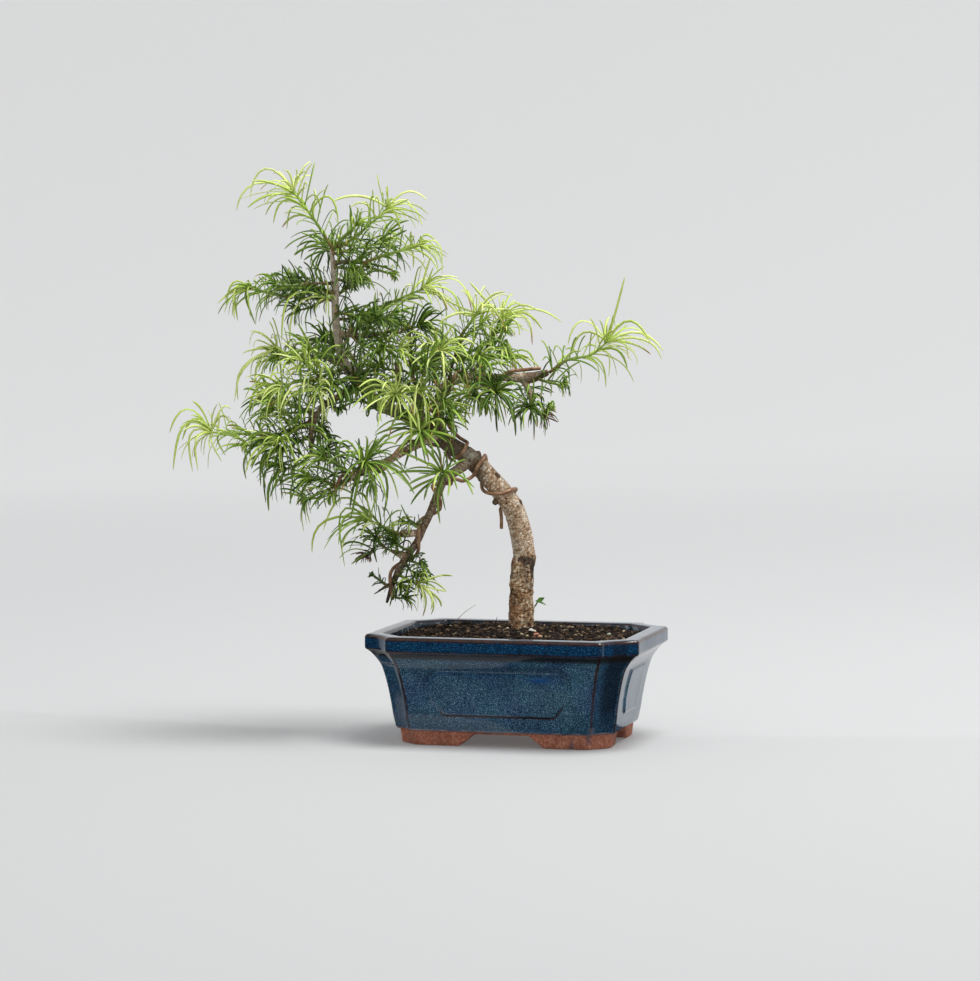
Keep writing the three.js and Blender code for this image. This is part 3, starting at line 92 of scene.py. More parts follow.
def perMillimetres(size):
    # the scale of a pattern whose features are this many millimetres apart
    return 1 / (size * metre)


def addNode(tree, kind, inputs=None, settings=None, stops=(), out=0):
    # adds a node with its settings, ramp stops and inputs, and gives one of its outputs; text among
    # the inputs is a colour such as "#8a5a3c", or else the name of an attribute of the mesh
    node = tree.nodes.new("ShaderNode" + kind)
    for name, value in (settings or {}).items():
        setattr(node, name, value)
    for number, (place, colour) in enumerate(stops):
        elements = node.color_ramp.elements
        element = elements[number] if number < 2 else elements.new(place)
        element.position = place
        element.color = linear(colour)
    for name, value in (inputs or {}).items():
        if isinstance(value, str) and value[0] != "#":
            value = addNode(tree, "Attribute", None, {"attribute_name": value}, out="Fac")
        if isinstance(value, bpy.types.NodeSocket):
            tree.links.new(value, node.inputs[name])
        else:
            node.inputs[name].default_value = linear(value) if isinstance(value, str) else value
    return node.outputs[out]


def newMaterial(name):
    material = bpy.data.materials.new(name)
    material.use_nodes = True
    material.node_tree.nodes.clear()
    return material, partial(addNode, material.node_tree)


def finishMaterial(material, inputs):
    tree = material.node_tree
    shader = addNode(tree, "BsdfPrincipled", inputs)
    output = tree.nodes.new("ShaderNodeOutputMaterial")
    tree.links.new(shader, output.inputs["Surface"])
    return material


def layered(add, colour, layers):
    # colours laid over one another, each as [where it lies, how strong, colour]
    for share, strength, over in layers:
        if strength < 1:
            share = add("Math", {0: share, 1: strength}, {"operation": "MULTIPLY"})
        colour = add("Mix", {0: share, 6: colour, 7: over}, {"data_type": "RGBA"}, out=2)
    return colour


def summed(add, parts, total):
    # the parts, each a pattern and its weight, added to the total
    for pattern, weight in parts:
        total = add("Math", {0: pattern, 1: weight, 2: total}, {"operation": "MULTIPLY_ADD"})
    return total


def makePiece(name, points, faces, materials, nodes, attributes=None, faceMaterials=None):
    # faces is a list of arrays of quads or of triangles; points are millimetres
    mesh = bpy.data.meshes.new(name)
    loops = np.concatenate([part.ravel() for part in faces])
    sizes = np.concatenate([np.full(len(part), part.shape[1]) for part in faces])
    mesh.vertices.add(len(points))
    mesh.vertices.foreach_set("co", (np.asarray(points) * metre).astype(np.float32).ravel())
    mesh.loops.add(len(loops))
    mesh.loops.foreach_set("vertex_index", loops.astype(np.int32))
    mesh.polygons.add(len(sizes))
    mesh.polygons.foreach_set("loop_start", (np.cumsum(sizes) - sizes).astype(np.int32))
    for material in materials:
        mesh.materials.append(material)
    if faceMaterials is not None:
        mesh.polygons.foreach_set("material_index", faceMaterials.astype(np.int32))
    setAttributes(mesh, attributes or {})
    mesh.update(calc_edges=True)
    mesh.validate()
    mesh.shade_smooth()
    piece = bpy.data.objects.new(name, mesh)
    bpy.context.scene.collection.objects.link(piece)
    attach(piece, "root")
    if nodes:
        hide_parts(*nodes)
    return piece


def plainObject(name, points, faces):
    # an object that is no piece of the bonsai, from points in metres
    mesh = bpy.data.meshes.new(name)
    mesh.from_pydata(points.tolist(), [], [face for part in faces for face in part.tolist()])
    plain = bpy.data.objects.new(name, mesh)
    bpy.context.scene.collection.objects.link(plain)
    return plain


def setAttributes(mesh, values):
    for label, numbers in values.items():
        mesh.attributes.new(label, "FLOAT", "POINT").data.foreach_set(
            "value", np.asarray(numbers, np.float32)
        )


def meshPoints(mesh):
    co = np.zeros(len(mesh.vertices) * 3, np.float32)
    mesh.vertices.foreach_get("co", co)
    return co.reshape(-1, 3).astype(float) / metre


def gridFaces(rows, columns, start=0):
    # quads between neighbouring rows of points, each row closed on itself
    row = np.arange(rows - 1)[:, None] * columns
    column = np.arange(columns)[None, :]
    after = (column + 1) % columns
    corners = [row + column, row + after, row + columns + after, row + columns + column]
    return np.stack(corners, -1).reshape(-1, 4) + start


def repeated(faces, count, stride):
    # the faces of count like pieces whose points follow one another
    faces = np.asarray(faces)
    return (faces[None] + np.arange(count)[:, None, None] * stride).reshape(-1, faces.shape[1])


def fanFaces(first, columns, middle, flipped=False):
    # triangles from a middle point to a closed row of points that starts at first
    column = np.arange(columns)
    a, b = first + column, first + (column + 1) % columns
    fan = [b, a] if flipped else [a, b]
    return np.stack([np.full(columns, middle), *fan], -1)


# Formulas

def unit(vectors):
    vectors = np.asarray(vectors, float)
    return vectors / np.maximum(np.linalg.norm(vectors, axis=-1, keepdims=True), 1e-9)


def lengths(path):
    # the distance travelled to each point of a path
    return np.concatenate([[0], np.cumsum(np.linalg.norm(np.diff(path, axis=0), axis=1))])


def wave(i, k):
    # a repeatable number from 0 to 1 for each i
    value = np.sin(np.asarray(i, float) * 12.9898 + k * 78.233) * 43758.5453
    return value - np.floor(value)


def smoothStep(low, high, values):
    t = np.clip((np.asarray(values, float) - low) / (high - low), 0, 1)
    return t * t * (3 - 2 * t)


def spread(first, last, share):
    return first + (last - first) * share


def fromMiddle(x, z, patch):
    # how far a point is from a patch's middle, across and up, in halves of its width and height
    return (x - patch[0]) / patch[2], (z - patch[1]) / patch[3]


def softPatch(x, z, patch):
    # exp(-across^2 - up^2): 1 at the patch's middle and fading all round
    across, up = fromMiddle(x, z, patch)
    return np.exp(-across ** 2 - up ** 2)


def field(points, size, seed):
    # a smooth random value from -1 to 1 at each point, which changes over the given size in mm:
    # random numbers at the corners of a grid of cells, eased from corner to corner
    places = np.asarray(points, float) / size
    cell = np.floor(places)
    part = places - cell
    part = part * part * (3 - 2 * part)
    total = np.zeros(len(places))
    for corner in np.ndindex(2, 2, 2):
        at = cell + corner
        number = at[:, 0] * 157.31 + at[:, 1] * 113.57 + at[:, 2] * 271.9 + seed * 17.17
        weight = np.prod(np.where(np.array(corner) == 1, part, 1 - part), axis=1)
        total += weight * wave(number, seed)
    return total * 2 - 1


def splinePoints(points, u):
    # Catmull-Rom curve through the points at shares u of the number of spans
    points = np.asarray(points, float)
    ends = np.vstack([2 * points[0] - points[1], points, 2 * points[-1] - points[-2]])
    spans = len(points) - 1
    place = np.clip(np.atleast_1d(u), 0, 1) * spans
    index = np.minimum(place.astype(int), spans - 1)
    t = (place - index)[:, None]
    p0, p1, p2, p3 = (ends[index + k] for k in range(4))
    v0, v1 = (p2 - p0) / 2, (p3 - p1) / 2
    cubic = 2 * p1 - 2 * p2 + v0 + v1
    square = -3 * p1 + 3 * p2 - 2 * v0 - v1
    return cubic * t ** 3 + square * t ** 2 + v0 * t + p1


def alongRoute(points, shares):
    # points and directions at shares of the curve's length, and that length
    fine = np.linspace(0, 1, 201)
    travelled = lengths(splinePoints(points, fine))
    u = np.interp(np.atleast_1d(shares) * travelled[-1], travelled, fine)
    ahead, behind = (splinePoints(points, u + step) for step in (1e-4, -1e-4))
    return splinePoints(points, u), unit(ahead - behind), travelled[-1]


def sideways(directions, reference):
    # two directions across each one: the first as near to the reference as can be
    reference = np.broadcast_to(np.asarray(reference, float), directions.shape)
    first = unit(reference - directions * np.sum(directions * reference, -1, keepdims=True))
    return first, np.cross(directions, first)


def carriedNormals(directions, first):
    # one direction across a path, carried from each station to the next without twist
    normals = []
    normal = np.asarray(first, float)
    for direction in directions:
        normal = unit(normal - direction * np.dot(normal, direction))
        normals.append(normal)
    return np.array(normals)


def roundTube(points, directions, radii, sides, first=(0, -1, 0.2)):
    # rings of points round a path: middle + radius * (cos a * normal + sin a * across)
    normals = carriedNormals(directions, first)
    across = np.cross(directions, normals)
    angle = np.linspace(0, 2 * np.pi, sides, endpoint=False)[None, :, None]
    spokes = np.cos(angle) * normals[:, None] + np.sin(angle) * across[:, None]
    return points[:, None] + np.asarray(radii)[:, None, None] * spokes


def closedTube(rings, start=0):
    # the points of the rings with both ends closed by a fan, and the faces
    rows, sides = rings.shape[:2]
    points = np.vstack([rings.reshape(-1, 3), rings[0].mean(0), rings[-1].mean(0)])
    first, last = start + rows * sides, start + rows * sides + 1
    fans = [fanFaces(start, sides, first, True), fanFaces(start + (rows - 1) * sides, sides, last)]
    return points, [gridFaces(rows, sides, start), *fans]


def gathered(parts):
    # several pieces of (points, faces, values) as one, with the faces renumbered
    points, faces, values, start = [], [], [], 0
    for own, ownFaces, ownValues in parts:
        points.append(own)
        faces += [face + start for face in ownFaces]
        values.append(ownValues)
        start += len(own)
    labels = values[0].keys()
    return np.vstack(points), faces, {k: np.concatenate([v[k] for v in values]) for k in labels}


# Tree frame: [across, depth, up] from the trunk's foot, turned from the pot's
treePlace = {"turn": 13.87, "foot": (-1, 11.5, 61.5)}


def turned(x, y, angle):
    return [x * math.cos(angle) - y * math.sin(angle), x * math.sin(angle) + y * math.cos(angle)]


def fromTree(points):
    # points of the tree's own frame in the frame of the part
    x, y, z = np.moveaxis(np.asarray(points, float), -1, 0)
    xy = turned(x, y, math.radians(treePlace["turn"]))
    return np.stack([*xy, z], -1) + treePlace["foot"] + potMiddle


def toTree(points):
    # points of the part's frame back in the tree's own
    x, y, z = np.moveaxis(points - potMiddle - treePlace["foot"], -1, 0)
    return np.stack([*turned(x, y, math.radians(-treePlace["turn"])), z], -1)


# Pot: red stoneware with a mottled blue glaze

potShape = {
    "length": 155.0,
    "width": 117.4,
    "floorTop": 13.0,
    "footHeight": 6.8,
    "footTop": 7.9,  # height of the line between the feet and the wall
    "arris": 1.3,  # how far from a corner its rounding begins
    "flute": 2.3,  # how far the corners' faces are hollowed
    "panelProud": 0.9,
    "panelBevel": 0.9,
    "panelHalfWidth": 38.0,
    "drainHole": 10.0,
    "drainSpacing": 60.0,
    "spacing": 0.78,  # between the mesh's columns
    "wallSpacing": 0.62,  # between its rows
    "insideSpacing": 3.2,
    # [inset from the rim's outline, height, corner cut, share of the ring's size]
    "inside": [
        [21, 13, 9, 0.03], [21, 13, 9, 0.5], [21, 13, 9, 0.94], [20.4, 13.5, 9.4, 1],
        [19.5, 16, 10, 1], [17.5, 30, 11, 1], [14, 43, 12, 1], [11, 52, 13.5, 1],
        [10, 57.5, 14, 1], [9.7, 59.8, 14.1, 1],
    ],
    "rim": [
        [9.5, 60.4, 14.2, 1], [9.15, 60.9, 14.3, 1], [8.4, 61.15, 14.5, 1], [6.5, 61.2, 15.2, 1],
        [4, 61.2, 16, 1], [2.3, 61.2, 16.8, 1], [1.55, 61.08, 17.1, 1], [0.95, 60.85, 17.3, 1],
        [0.5, 60.5, 17.4, 1], [0.18, 60.05, 17.5, 1], [0.02, 59.5, 17.5, 1],
    ],
    "band": [
        [0, 58.6, 17.5, 1], [0, 56.8, 17.5, 1], [0, 55, 17.5, 1], [0.02, 53.9, 17.5, 1],
        [0.22, 53.2, 17.4, 1], [0.7, 52.65, 17.2, 1], [1.4, 52.3, 16.8, 1],
    ],
    "wall": [
        [2.5, 51.5, 16, 1], [4, 50, 15, 1], [6, 47.5, 14, 1], [8.4, 43.5, 13, 1],
        [10.2, 37.5, 12.4, 1], [11.7, 30.5, 12.1, 1], [13, 23, 11.7, 1], [14, 16, 11.3, 1],
        [15.2, 10, 11, 1],
    ],
    "foot": [
        [15.7, 8.7, 10.9, 1], [16.4, 8.1, 10.7, 1], [17.4, 7.9, 10.4, 1], [17.7, 7.2, 10.4, 1],
        [18.4, 1, 10.2, 1], [18.7, 0.3, 10.2, 1], [19.4, 0, 10, 1], [28.5, 0, 8.3, 1],
        [29.2, 0.3, 8.1, 1], [29.5, 1, 8, 1], [29.5, 5.8, 8, 1], [29.5, 6.6, 8, 1],
        [29.5, 6.8, 8, 0.97], [29.5, 6.8, 8, 0.4], [29.5, 6.8, 8, 0.03],
    ],
    # half of the raised panel's outline: [share of its half width, height]
    "panel": [[0.82, 17.5], [0.97, 24.5], [1.01, 24.5], [1.01, 37.8], [0.91, 42.8]],
    # half widths of the gaps between the feet, at their top and at the sole
    "frontGap": (15.5, 24.0),
    "sideGap": (10.0, 15.7),
    "pool": (24, 38.6, 6.0, 1.5),  # bluer glaze under the front panel's top: see fromMiddle
}


def potProfile():
    # the profile's rows, with the inside and the wall refined along smooth curves
    shape = potShape

    def finer(rows, spacing):
        rows = np.array(rows, float)
        travelled = lengths(rows[:, :2])
        even = np.linspace(0, travelled[-1], int(travelled[-1] / spacing) + 2)
        return splinePoints(rows, np.interp(even, travelled, np.linspace(0, 1, len(rows))))

    wall = finer([shape["band"][-1], *shape["wall"], shape["foot"][0]], shape["wallSpacing"])
    inside = finer(shape["inside"][3:], shape["insideSpacing"])
    return np.vstack([
        shape["inside"][:3], inside, shape["rim"], shape["band"][:-1], wall, shape["foot"][1:],
    ])


def potCorners(profile):
    # the eight corners of the outline at each row of the profile: [rows, 8, 2]
    inset, cut = profile[:, 0], profile[:, 2]
    x, y = potShape["length"] / 2 - inset, potShape["width"] / 2 - inset
    corners = [
        (x, -y + cut), (x, y - cut), (x - cut, y), (-x + cut, y),
        (-x, y - cut), (-x, -y + cut), (-x + cut, -y), (x - cut, -y),
    ]
    return np.stack([np.stack(corner, -1) for corner in corners], 1)


def potOutline(profile):
    # four straight walls and four hollowed corner faces, joined by rounded arrises: a quadratic
    # arc from one side to the next; a hollow is deep as the root of the sine across its face
    corners = potCorners(profile)
    arris = potShape["arris"]
    hollow = potShape["flute"] * smoothStep(9, 2, profile[:, 0]) * (profile[:, 1] > 45)
    hollow += potShape["flute"] * 0.8 * (profile[:, 1] <= 45) * smoothStep(5, 9, profile[:, 1])
    hollow[:len(potShape["inside"])] = 0
    parts = []
    for side in range(8):
        a, b, c = (corners[:, (side + k) % 8] for k in (0, 1, 2))
        along, turned = unit(b - a), unit(c - b)
        start, end, after = a + along * arris, b - along * arris, b + turned * arris
        length = np.linalg.norm(b - a, axis=-1)[np.argmax(profile[:, 1])]
        t = np.linspace(0, 1, int(length / potShape["spacing"]))[None, :, None]
        row = start[:, None] * (1 - t) + end[:, None] * t
        if side % 2:
            inward = np.stack([-along[:, 1], along[:, 0]], -1)[:, None]
            row = row + inward * hollow[:, None, None] * np.sin(np.pi * t) ** 0.45
        parts.append(row)
        t = np.linspace(0, 1, 6)[None, 1:-1, None]
        arc = end[:, None] * (1 - t) ** 2 + b[:, None] * 2 * t * (1 - t) + after[:, None] * t ** 2
        parts.append(arc)
    return np.concatenate(parts, axis=1)


def panelDistance(along, height, halfWidth):
    # how far inside the panel's outline a point of a wall is, in mm; outside it is negative
    right = [(share * halfWidth, z) for share, z in potShape["panel"]]
    outline = np.array(right + [(-x, z) for x, z in reversed(right)])
    distance = np.full(along.shape, 1e9)
    inside = np.zeros(along.shape, bool)
    for (x0, z0), (x1, z1) in zip(outline, np.roll(outline, -1, axis=0)):
        dx, dz = x1 - x0, z1 - z0
        t = np.clip(((along - x0) * dx + (height - z0) * dz) / (dx * dx + dz * dz), 0, 1)
        distance = np.minimum(distance, np.hypot(along - x0 - t * dx, height - z0 - t * dz))
        crosses = (z0 > height) != (z1 > height)
        slope = dx / dz if dz else 0.0
        inside ^= crosses & (along < x0 + (height - z0) * slope)
    return np.where(inside, distance, -distance)


def wallSide(x, y):
    # 1 where a point belongs to a long side, 0 where it belongs to a short one
    return np.abs(y) / potShape["width"] > np.abs(x) / potShape["length"]


def panelDepth(x, y, z):
    narrow = potShape["panelHalfWidth"] - (potShape["length"] - potShape["width"]) / 2
    onLong = panelDistance(x, z, potShape["panelHalfWidth"])
    onShort = panelDistance(y, z, narrow)
    return np.where(wallSide(x, y), onLong, onShort)


def potPoints():
    profile = potProfile()
    outline = potOutline(profile) * profile[:, 3][:, None, None]
    x, y = outline[..., 0], outline[..., 1]
    z = np.broadcast_to(profile[:, 1][:, None], x.shape).copy()
    outer = np.arange(len(profile))[:, None] >= len(potShape["inside"]) + len(potShape["rim"])
    # raised panels: out from the wall by a smooth step over the bevel
    depth = panelDepth(x, y, z)
    proud = potShape["panelProud"] * smoothStep(-0.1, potShape["panelBevel"], depth)
    proud = np.where(outer & (z > 9) & (z < 50), proud, 0)
    long = wallSide(x, y)
    y = y + np.where(long, np.sign(y) * proud, 0)
    x = x + np.where(long, 0, np.sign(x) * proud)
    # gaps between the feet: the sole rises to the pocket's ceiling over a slope
    top, sole = (np.where(long, potShape["frontGap"][k], potShape["sideGap"][k]) for k in (0, 1))
    nearMiddle = np.where(long, np.abs(x), np.abs(y))
    rise = potShape["footHeight"] * np.clip((sole - nearMiddle) / (sole - top), 0, 1)
    footTop = potShape["footTop"]
    lifted = np.maximum(z, rise + (footTop - rise) * z / footTop * (z > 0))
    z = np.where(outer & (z < footTop), lifted, z)
    # hand finish: walls that wander by a few tenths of a millimetre
    wander = field(np.stack([x, y, z], -1).reshape(-1, 3), 26, 3).reshape(x.shape) * 0.3
    x = x * (1 + wander * outer / 70)
    return np.stack([x, y, z], -1)


def makePot():
    # the profile's rows joined round the pot, closed by fans, with the drain holes cut through
    grid = potPoints()
    rows, columns = grid.shape[:2]
    centres = [[0, 0, potShape["floorTop"]], [0, 0, potShape["footHeight"]]]
    points = np.vstack([grid.reshape(-1, 3), centres]) + potMiddle
    total = rows * columns
    faces = [
        gridFaces(rows, columns),
        fanFaces(0, columns, total, True),
        fanFaces(total - columns, columns, total + 1),
    ]
    pot = makePiece("glazed_pot", points, faces, [glazedStoneware], ["pot"])
    drill = makeDrill()
    modifier = pot.modifiers.new("drain holes", "BOOLEAN")
    modifier.operation = "DIFFERENCE"
    modifier.solver = "MANIFOLD"
    modifier.object = drill
    applyModifiers(pot)
    bpy.data.objects.remove(drill)
    pot.data.shade_smooth()
    markSharp(pot, 55)
    potMasks(pot.data)
    return pot


def makeDrill():
    # two upright rods that cut the drain holes
    parts = []
    for side in (-1, 1):
        middle = potMiddle + [side * potShape["drainSpacing"] / 2, 0, 0]
        path = middle + np.array([[0, 0, 3.0], [0, 0, 16.0]])
        directions = np.array([[0, 0, 1.0], [0, 0, 1.0]])
        rings = roundTube(path, directions, [potShape["drainHole"] / 2] * 2, 40)
        parts.append((*closedTube(rings), {}))
    points, faces, _ = gathered(parts)
    return plainObject("drill", points * metre, faces)


def applyModifiers(piece):
    # the evaluated mesh takes the place of the piece's own
    graph = bpy.context.evaluated_depsgraph_get()
    mesh = bpy.data.meshes.new_from_object(piece.evaluated_get(graph))
    piece.modifiers.clear()
    old = piece.data
    piece.data = mesh
    bpy.data.meshes.remove(old)
    mesh.name = piece.name


def markSharp(piece, degrees):
    bpy.context.view_layer.objects.active = piece
    piece.select_set(True)
    bpy.ops.object.shade_smooth_by_angle(angle=math.radians(degrees))
    piece.select_set(False)


def potMasks(mesh):
    # where the glaze is thin, thick or missing, and where shade, a shadow, highlights and a reflection
    # are painted on, from the distance to edges and the height
    x, y, z = (meshPoints(mesh) - potMiddle).T
    profile = potProfile()
    outside = profile[len(potShape["inside"]) + len(potShape["rim"]) - 2:]
    outside = outside[outside[:, 1] > 0.5][::-1]
    inset = np.interp(z, outside[:, 1], outside[:, 0])
    cut = np.interp(z, outside[:, 1], outside[:, 2])
    ax, ay = np.abs(x), np.abs(y)
    # how far each point lies beyond the long end, the long side and the corner's face
    overX, overY = ax - (potShape["length"] / 2 - inset), ay - (potShape["width"] / 2 - inset)
    toFront, toSide = np.hypot(overX + cut, overY), np.hypot(overX, overY + cut)
    outer = np.maximum(np.maximum(overX, overY), (overX + overY + cut) / math.sqrt(2)) > -3.7
    onCorner = outer * smoothStep(-0.5, -1.4, np.maximum(overX, overY))
    toCorner = np.minimum(toSide, toFront)
    points = np.stack([x, y, z], -1)
    uneven = 0.85 + 0.35 * field(points, 9, 5) + 0.25 * field(points, 2.2, 6)
    rimEdge = 1.5 * smoothStep(59.0, 59.7, z) * smoothStep(61.1, 60.8, z) * outer
    rimEdge = rimEdge + 1.2 * smoothStep(0.75, 0.2, np.abs(z - 52.9))
    arris = smoothStep(1.25, 0.25, toCorner) * (z < 52)
    bandArris = 1.5 * smoothStep(1.15, 0.35, toCorner) * (z >= 52)
    depth = panelDepth(x, y, z)
    turnUp = np.where(wallSide(x, y) & (x > 0), 24.5, 20.5)
    # a dark line under each raised panel's lower edge: partly thin brown glaze, partly painted shadow
    panelUnderShadow = smoothStep(0.75, 0.15, np.abs(depth + 0.15)) * smoothStep(turnUp, turnUp - 2, z)
    # painted shade: a darker band above each raised panel's top edge
    panelTopShade = smoothStep(2.4, 0.8, np.abs(depth + 1.8)) * (z > 36)
    # painted highlight: a lighter blue strip just under each raised panel's top edge
    panelTopHighlight = smoothStep(1.5, 0.3, np.abs(depth - 1.5)) * (z > 36)
    # thin brown glaze over edges, with the painted shadow under the panels
    thin = (rimEdge + arris * 1.2 + bandArris * 0.3) * uneven + panelUnderShadow * 1.2
    # a pale run of glaze down the right front edge and over the foot
    run = np.exp(-((overX + cut) / 1.2) ** 2) * (x > 0) * (y < 0) * (z < 13)
    lip = smoothStep(0.75, 0.15, np.abs(z - 8.7)) * (0.45 + 0.6 * field(points, 4, 9))
    lip = lip + 0.6 * run * (0.6 + 0.7 * field(points, 2.5, 14))
    onWallHollow = smoothStep(3.2, 9.0, toFront) * smoothStep(0.4, 2.0, toSide)
    onBandHollow = 0.8 * smoothStep(7, 12, toFront) * smoothStep(4, 8, toSide)
    hollow = np.where(z < 52.5, onWallHollow, onBandHollow) * spread(0.45, 1.0, smoothStep(12, 24, z))
    # painted shade and dark reflection in the hollowed corner faces, strongest on the right-hand corners,
    # and over the panels' top edges
    deep = onCorner * hollow * (z < 59.5) * (z > 9) * np.where(x > 0, 1, 0.15) + 0.45 * panelTopShade
    # band: the rim band's brighter blue glaze, fainter on the corner faces, and also the panels' painted
    # highlight
    band = smoothStep(52.2, 53.0, z) * (z < 61.0) + 0.45 * onCorner * (z < 52.2) + 0.5 * panelTopHighlight
    setAttributes(mesh, {
        "thin": np.clip(thin * (outer & (z > 8.4)), 0, 1),
        "lip": np.clip(lip * (outer & (z > 8.4)), 0, 1),
        "deep": np.clip(deep * outer, 0, 1),
        "level": np.exp(-((z - 26) / 15) ** 2),
        # painted reflection: the rim's flat top greyed as if it mirrored the pale room
        "rimTop": smoothStep(60.9, 61.1, z),
        # dark glaze in the cove under the rim band, darkened further as painted shade under its overhang
        "cove": np.clip(smoothStep(52.6, 52.1, z) * smoothStep(47.5, 50.5, z) * outer, 0, 1),
        "pool": softPatch(x, z, potShape["pool"]) * (y < 0) * 0.9,
        "band": np.clip(band * outer, 0, 1),
        "bare": np.where(z < 8.25 + 0.25 * field(points, 6, 8), 1.0 - 0.65 * run, 0.0),
        "inner": ~outer & (z > 12.5) & (z < 61),
    })


def makeGlaze():
    # glazed stoneware: red clay dipped in a mottled blue glaze and fired to a gloss, which
    # breaks brown where it runs thin over edges and gives fine light specks everywhere; painted on it
    # are shade in the corner hollows, above the panels and under the rim band, a shadow under the
    # panels, highlights below their top edges and a reflection on the rim top
    material, add = newMaterial("glazedStoneware")
    place = add("TexCoord", out="Object")
    fine, clouds, lime, grit = (
        add("TexNoise", {
            "Vector": place, "Scale": perMillimetres(size), "Detail": detail, "Roughness": roughness,
        })
        for size, detail, roughness in ((0.5, 4, 0.62), (17, 2, 0.5), (5, 3, 0.6), (1.4, 5, 0.7))
    )
    body, bandColour, thinEdge, clay = (
        add("ValToRGB", {"Fac": pattern}, stops=stops) for pattern, stops in (
            (summed(add, [("level", 0.03)], fine), [
                (0.36, "0a1826"), (0.78, "b2c8d4"), (0.46, "1b364d"), (0.54, "35566b"), (0.64, "668599"),
            ]),
            (fine, [
                (0.38, "010b17"), (0.76, "72b0c6"), (0.47, "032039"), (0.54, "053659"), (0.63, "16597f"),
            ]),
            (lime, [(0.3, "110806"), (0.7, "3b2118")]),
            (grit, [(0.32, "7e4430"), (0.72, "d0987e"), (0.5, "a9684f")]),
        )
    )
    drift, bloom, stain = (
        add("MapRange", {"Value": pattern, "From Min": low, "From Max": high, "To Min": 0, "To Max": most})
        for pattern, low, high, most in (
            (clouds, 0.35, 0.65, 0.45), (lime, 0.5, 0.62, 0.55), (clouds, 0.45, 0.7, 0.6),
        )
    )
    bloom = add("Math", {0: bloom, 1: "inner"}, {"operation": "MULTIPLY"})
    tinted = add(
        "Mix", {0: 0.3, 6: body, 7: clouds.node.outputs["Color"]},
        {"data_type": "RGBA", "blend_type": "SOFT_LIGHT"}, out=2,
    )
    colour = layered(add, tinted, [
        # the band colour also lays the painted highlight under the panels' top edges
        [drift, 1, bandColour], ["band", 1, bandColour], ["pool", 1, "#0b4279"],
        # dark cove under the rim band: partly its glaze, partly painted shade
        # painted shade in the corner hollows and above the panels
        ["deep", 0.78, "#0a1420"], ["inner", 0.75, "#1a222a"], ["cove", 0.9, "#171410"],
        # a painted reflection on the rim top
        # thin brown glaze on edges, and the painted shadow under the panels
        ["rimTop", 0.7, "#566069"], [bloom, 1, "#8d97a0"], ["thin", 1, thinEdge],
        ["lip", 1, "#8f8a92"], ["bare", 1, layered(add, clay, [[stain, 1, "#6a3f34"]])],
    ])
    relief = summed(add, [(grit, "bare"), (lime, 0.35), (clouds, 3.2)], 0.0)
    return finishMaterial(material, {
        "Base Color": colour, "IOR": 1.5,
        "Roughness": add("MapRange", {"Value": "bare", "To Min": 0.1, "To Max": 0.8}),
        "Normal": add("Bump", {"Height": relief, "Distance": 0.25 * metre, "Strength": 0.35}),
    })


glazedStoneware = makeGlaze()
pot = makePot()
print("pot made:", len(pot.data.polygons), "faces")


# Wood: trunk, branches, twigs and stubs as rows of [across, depth, up, radius]

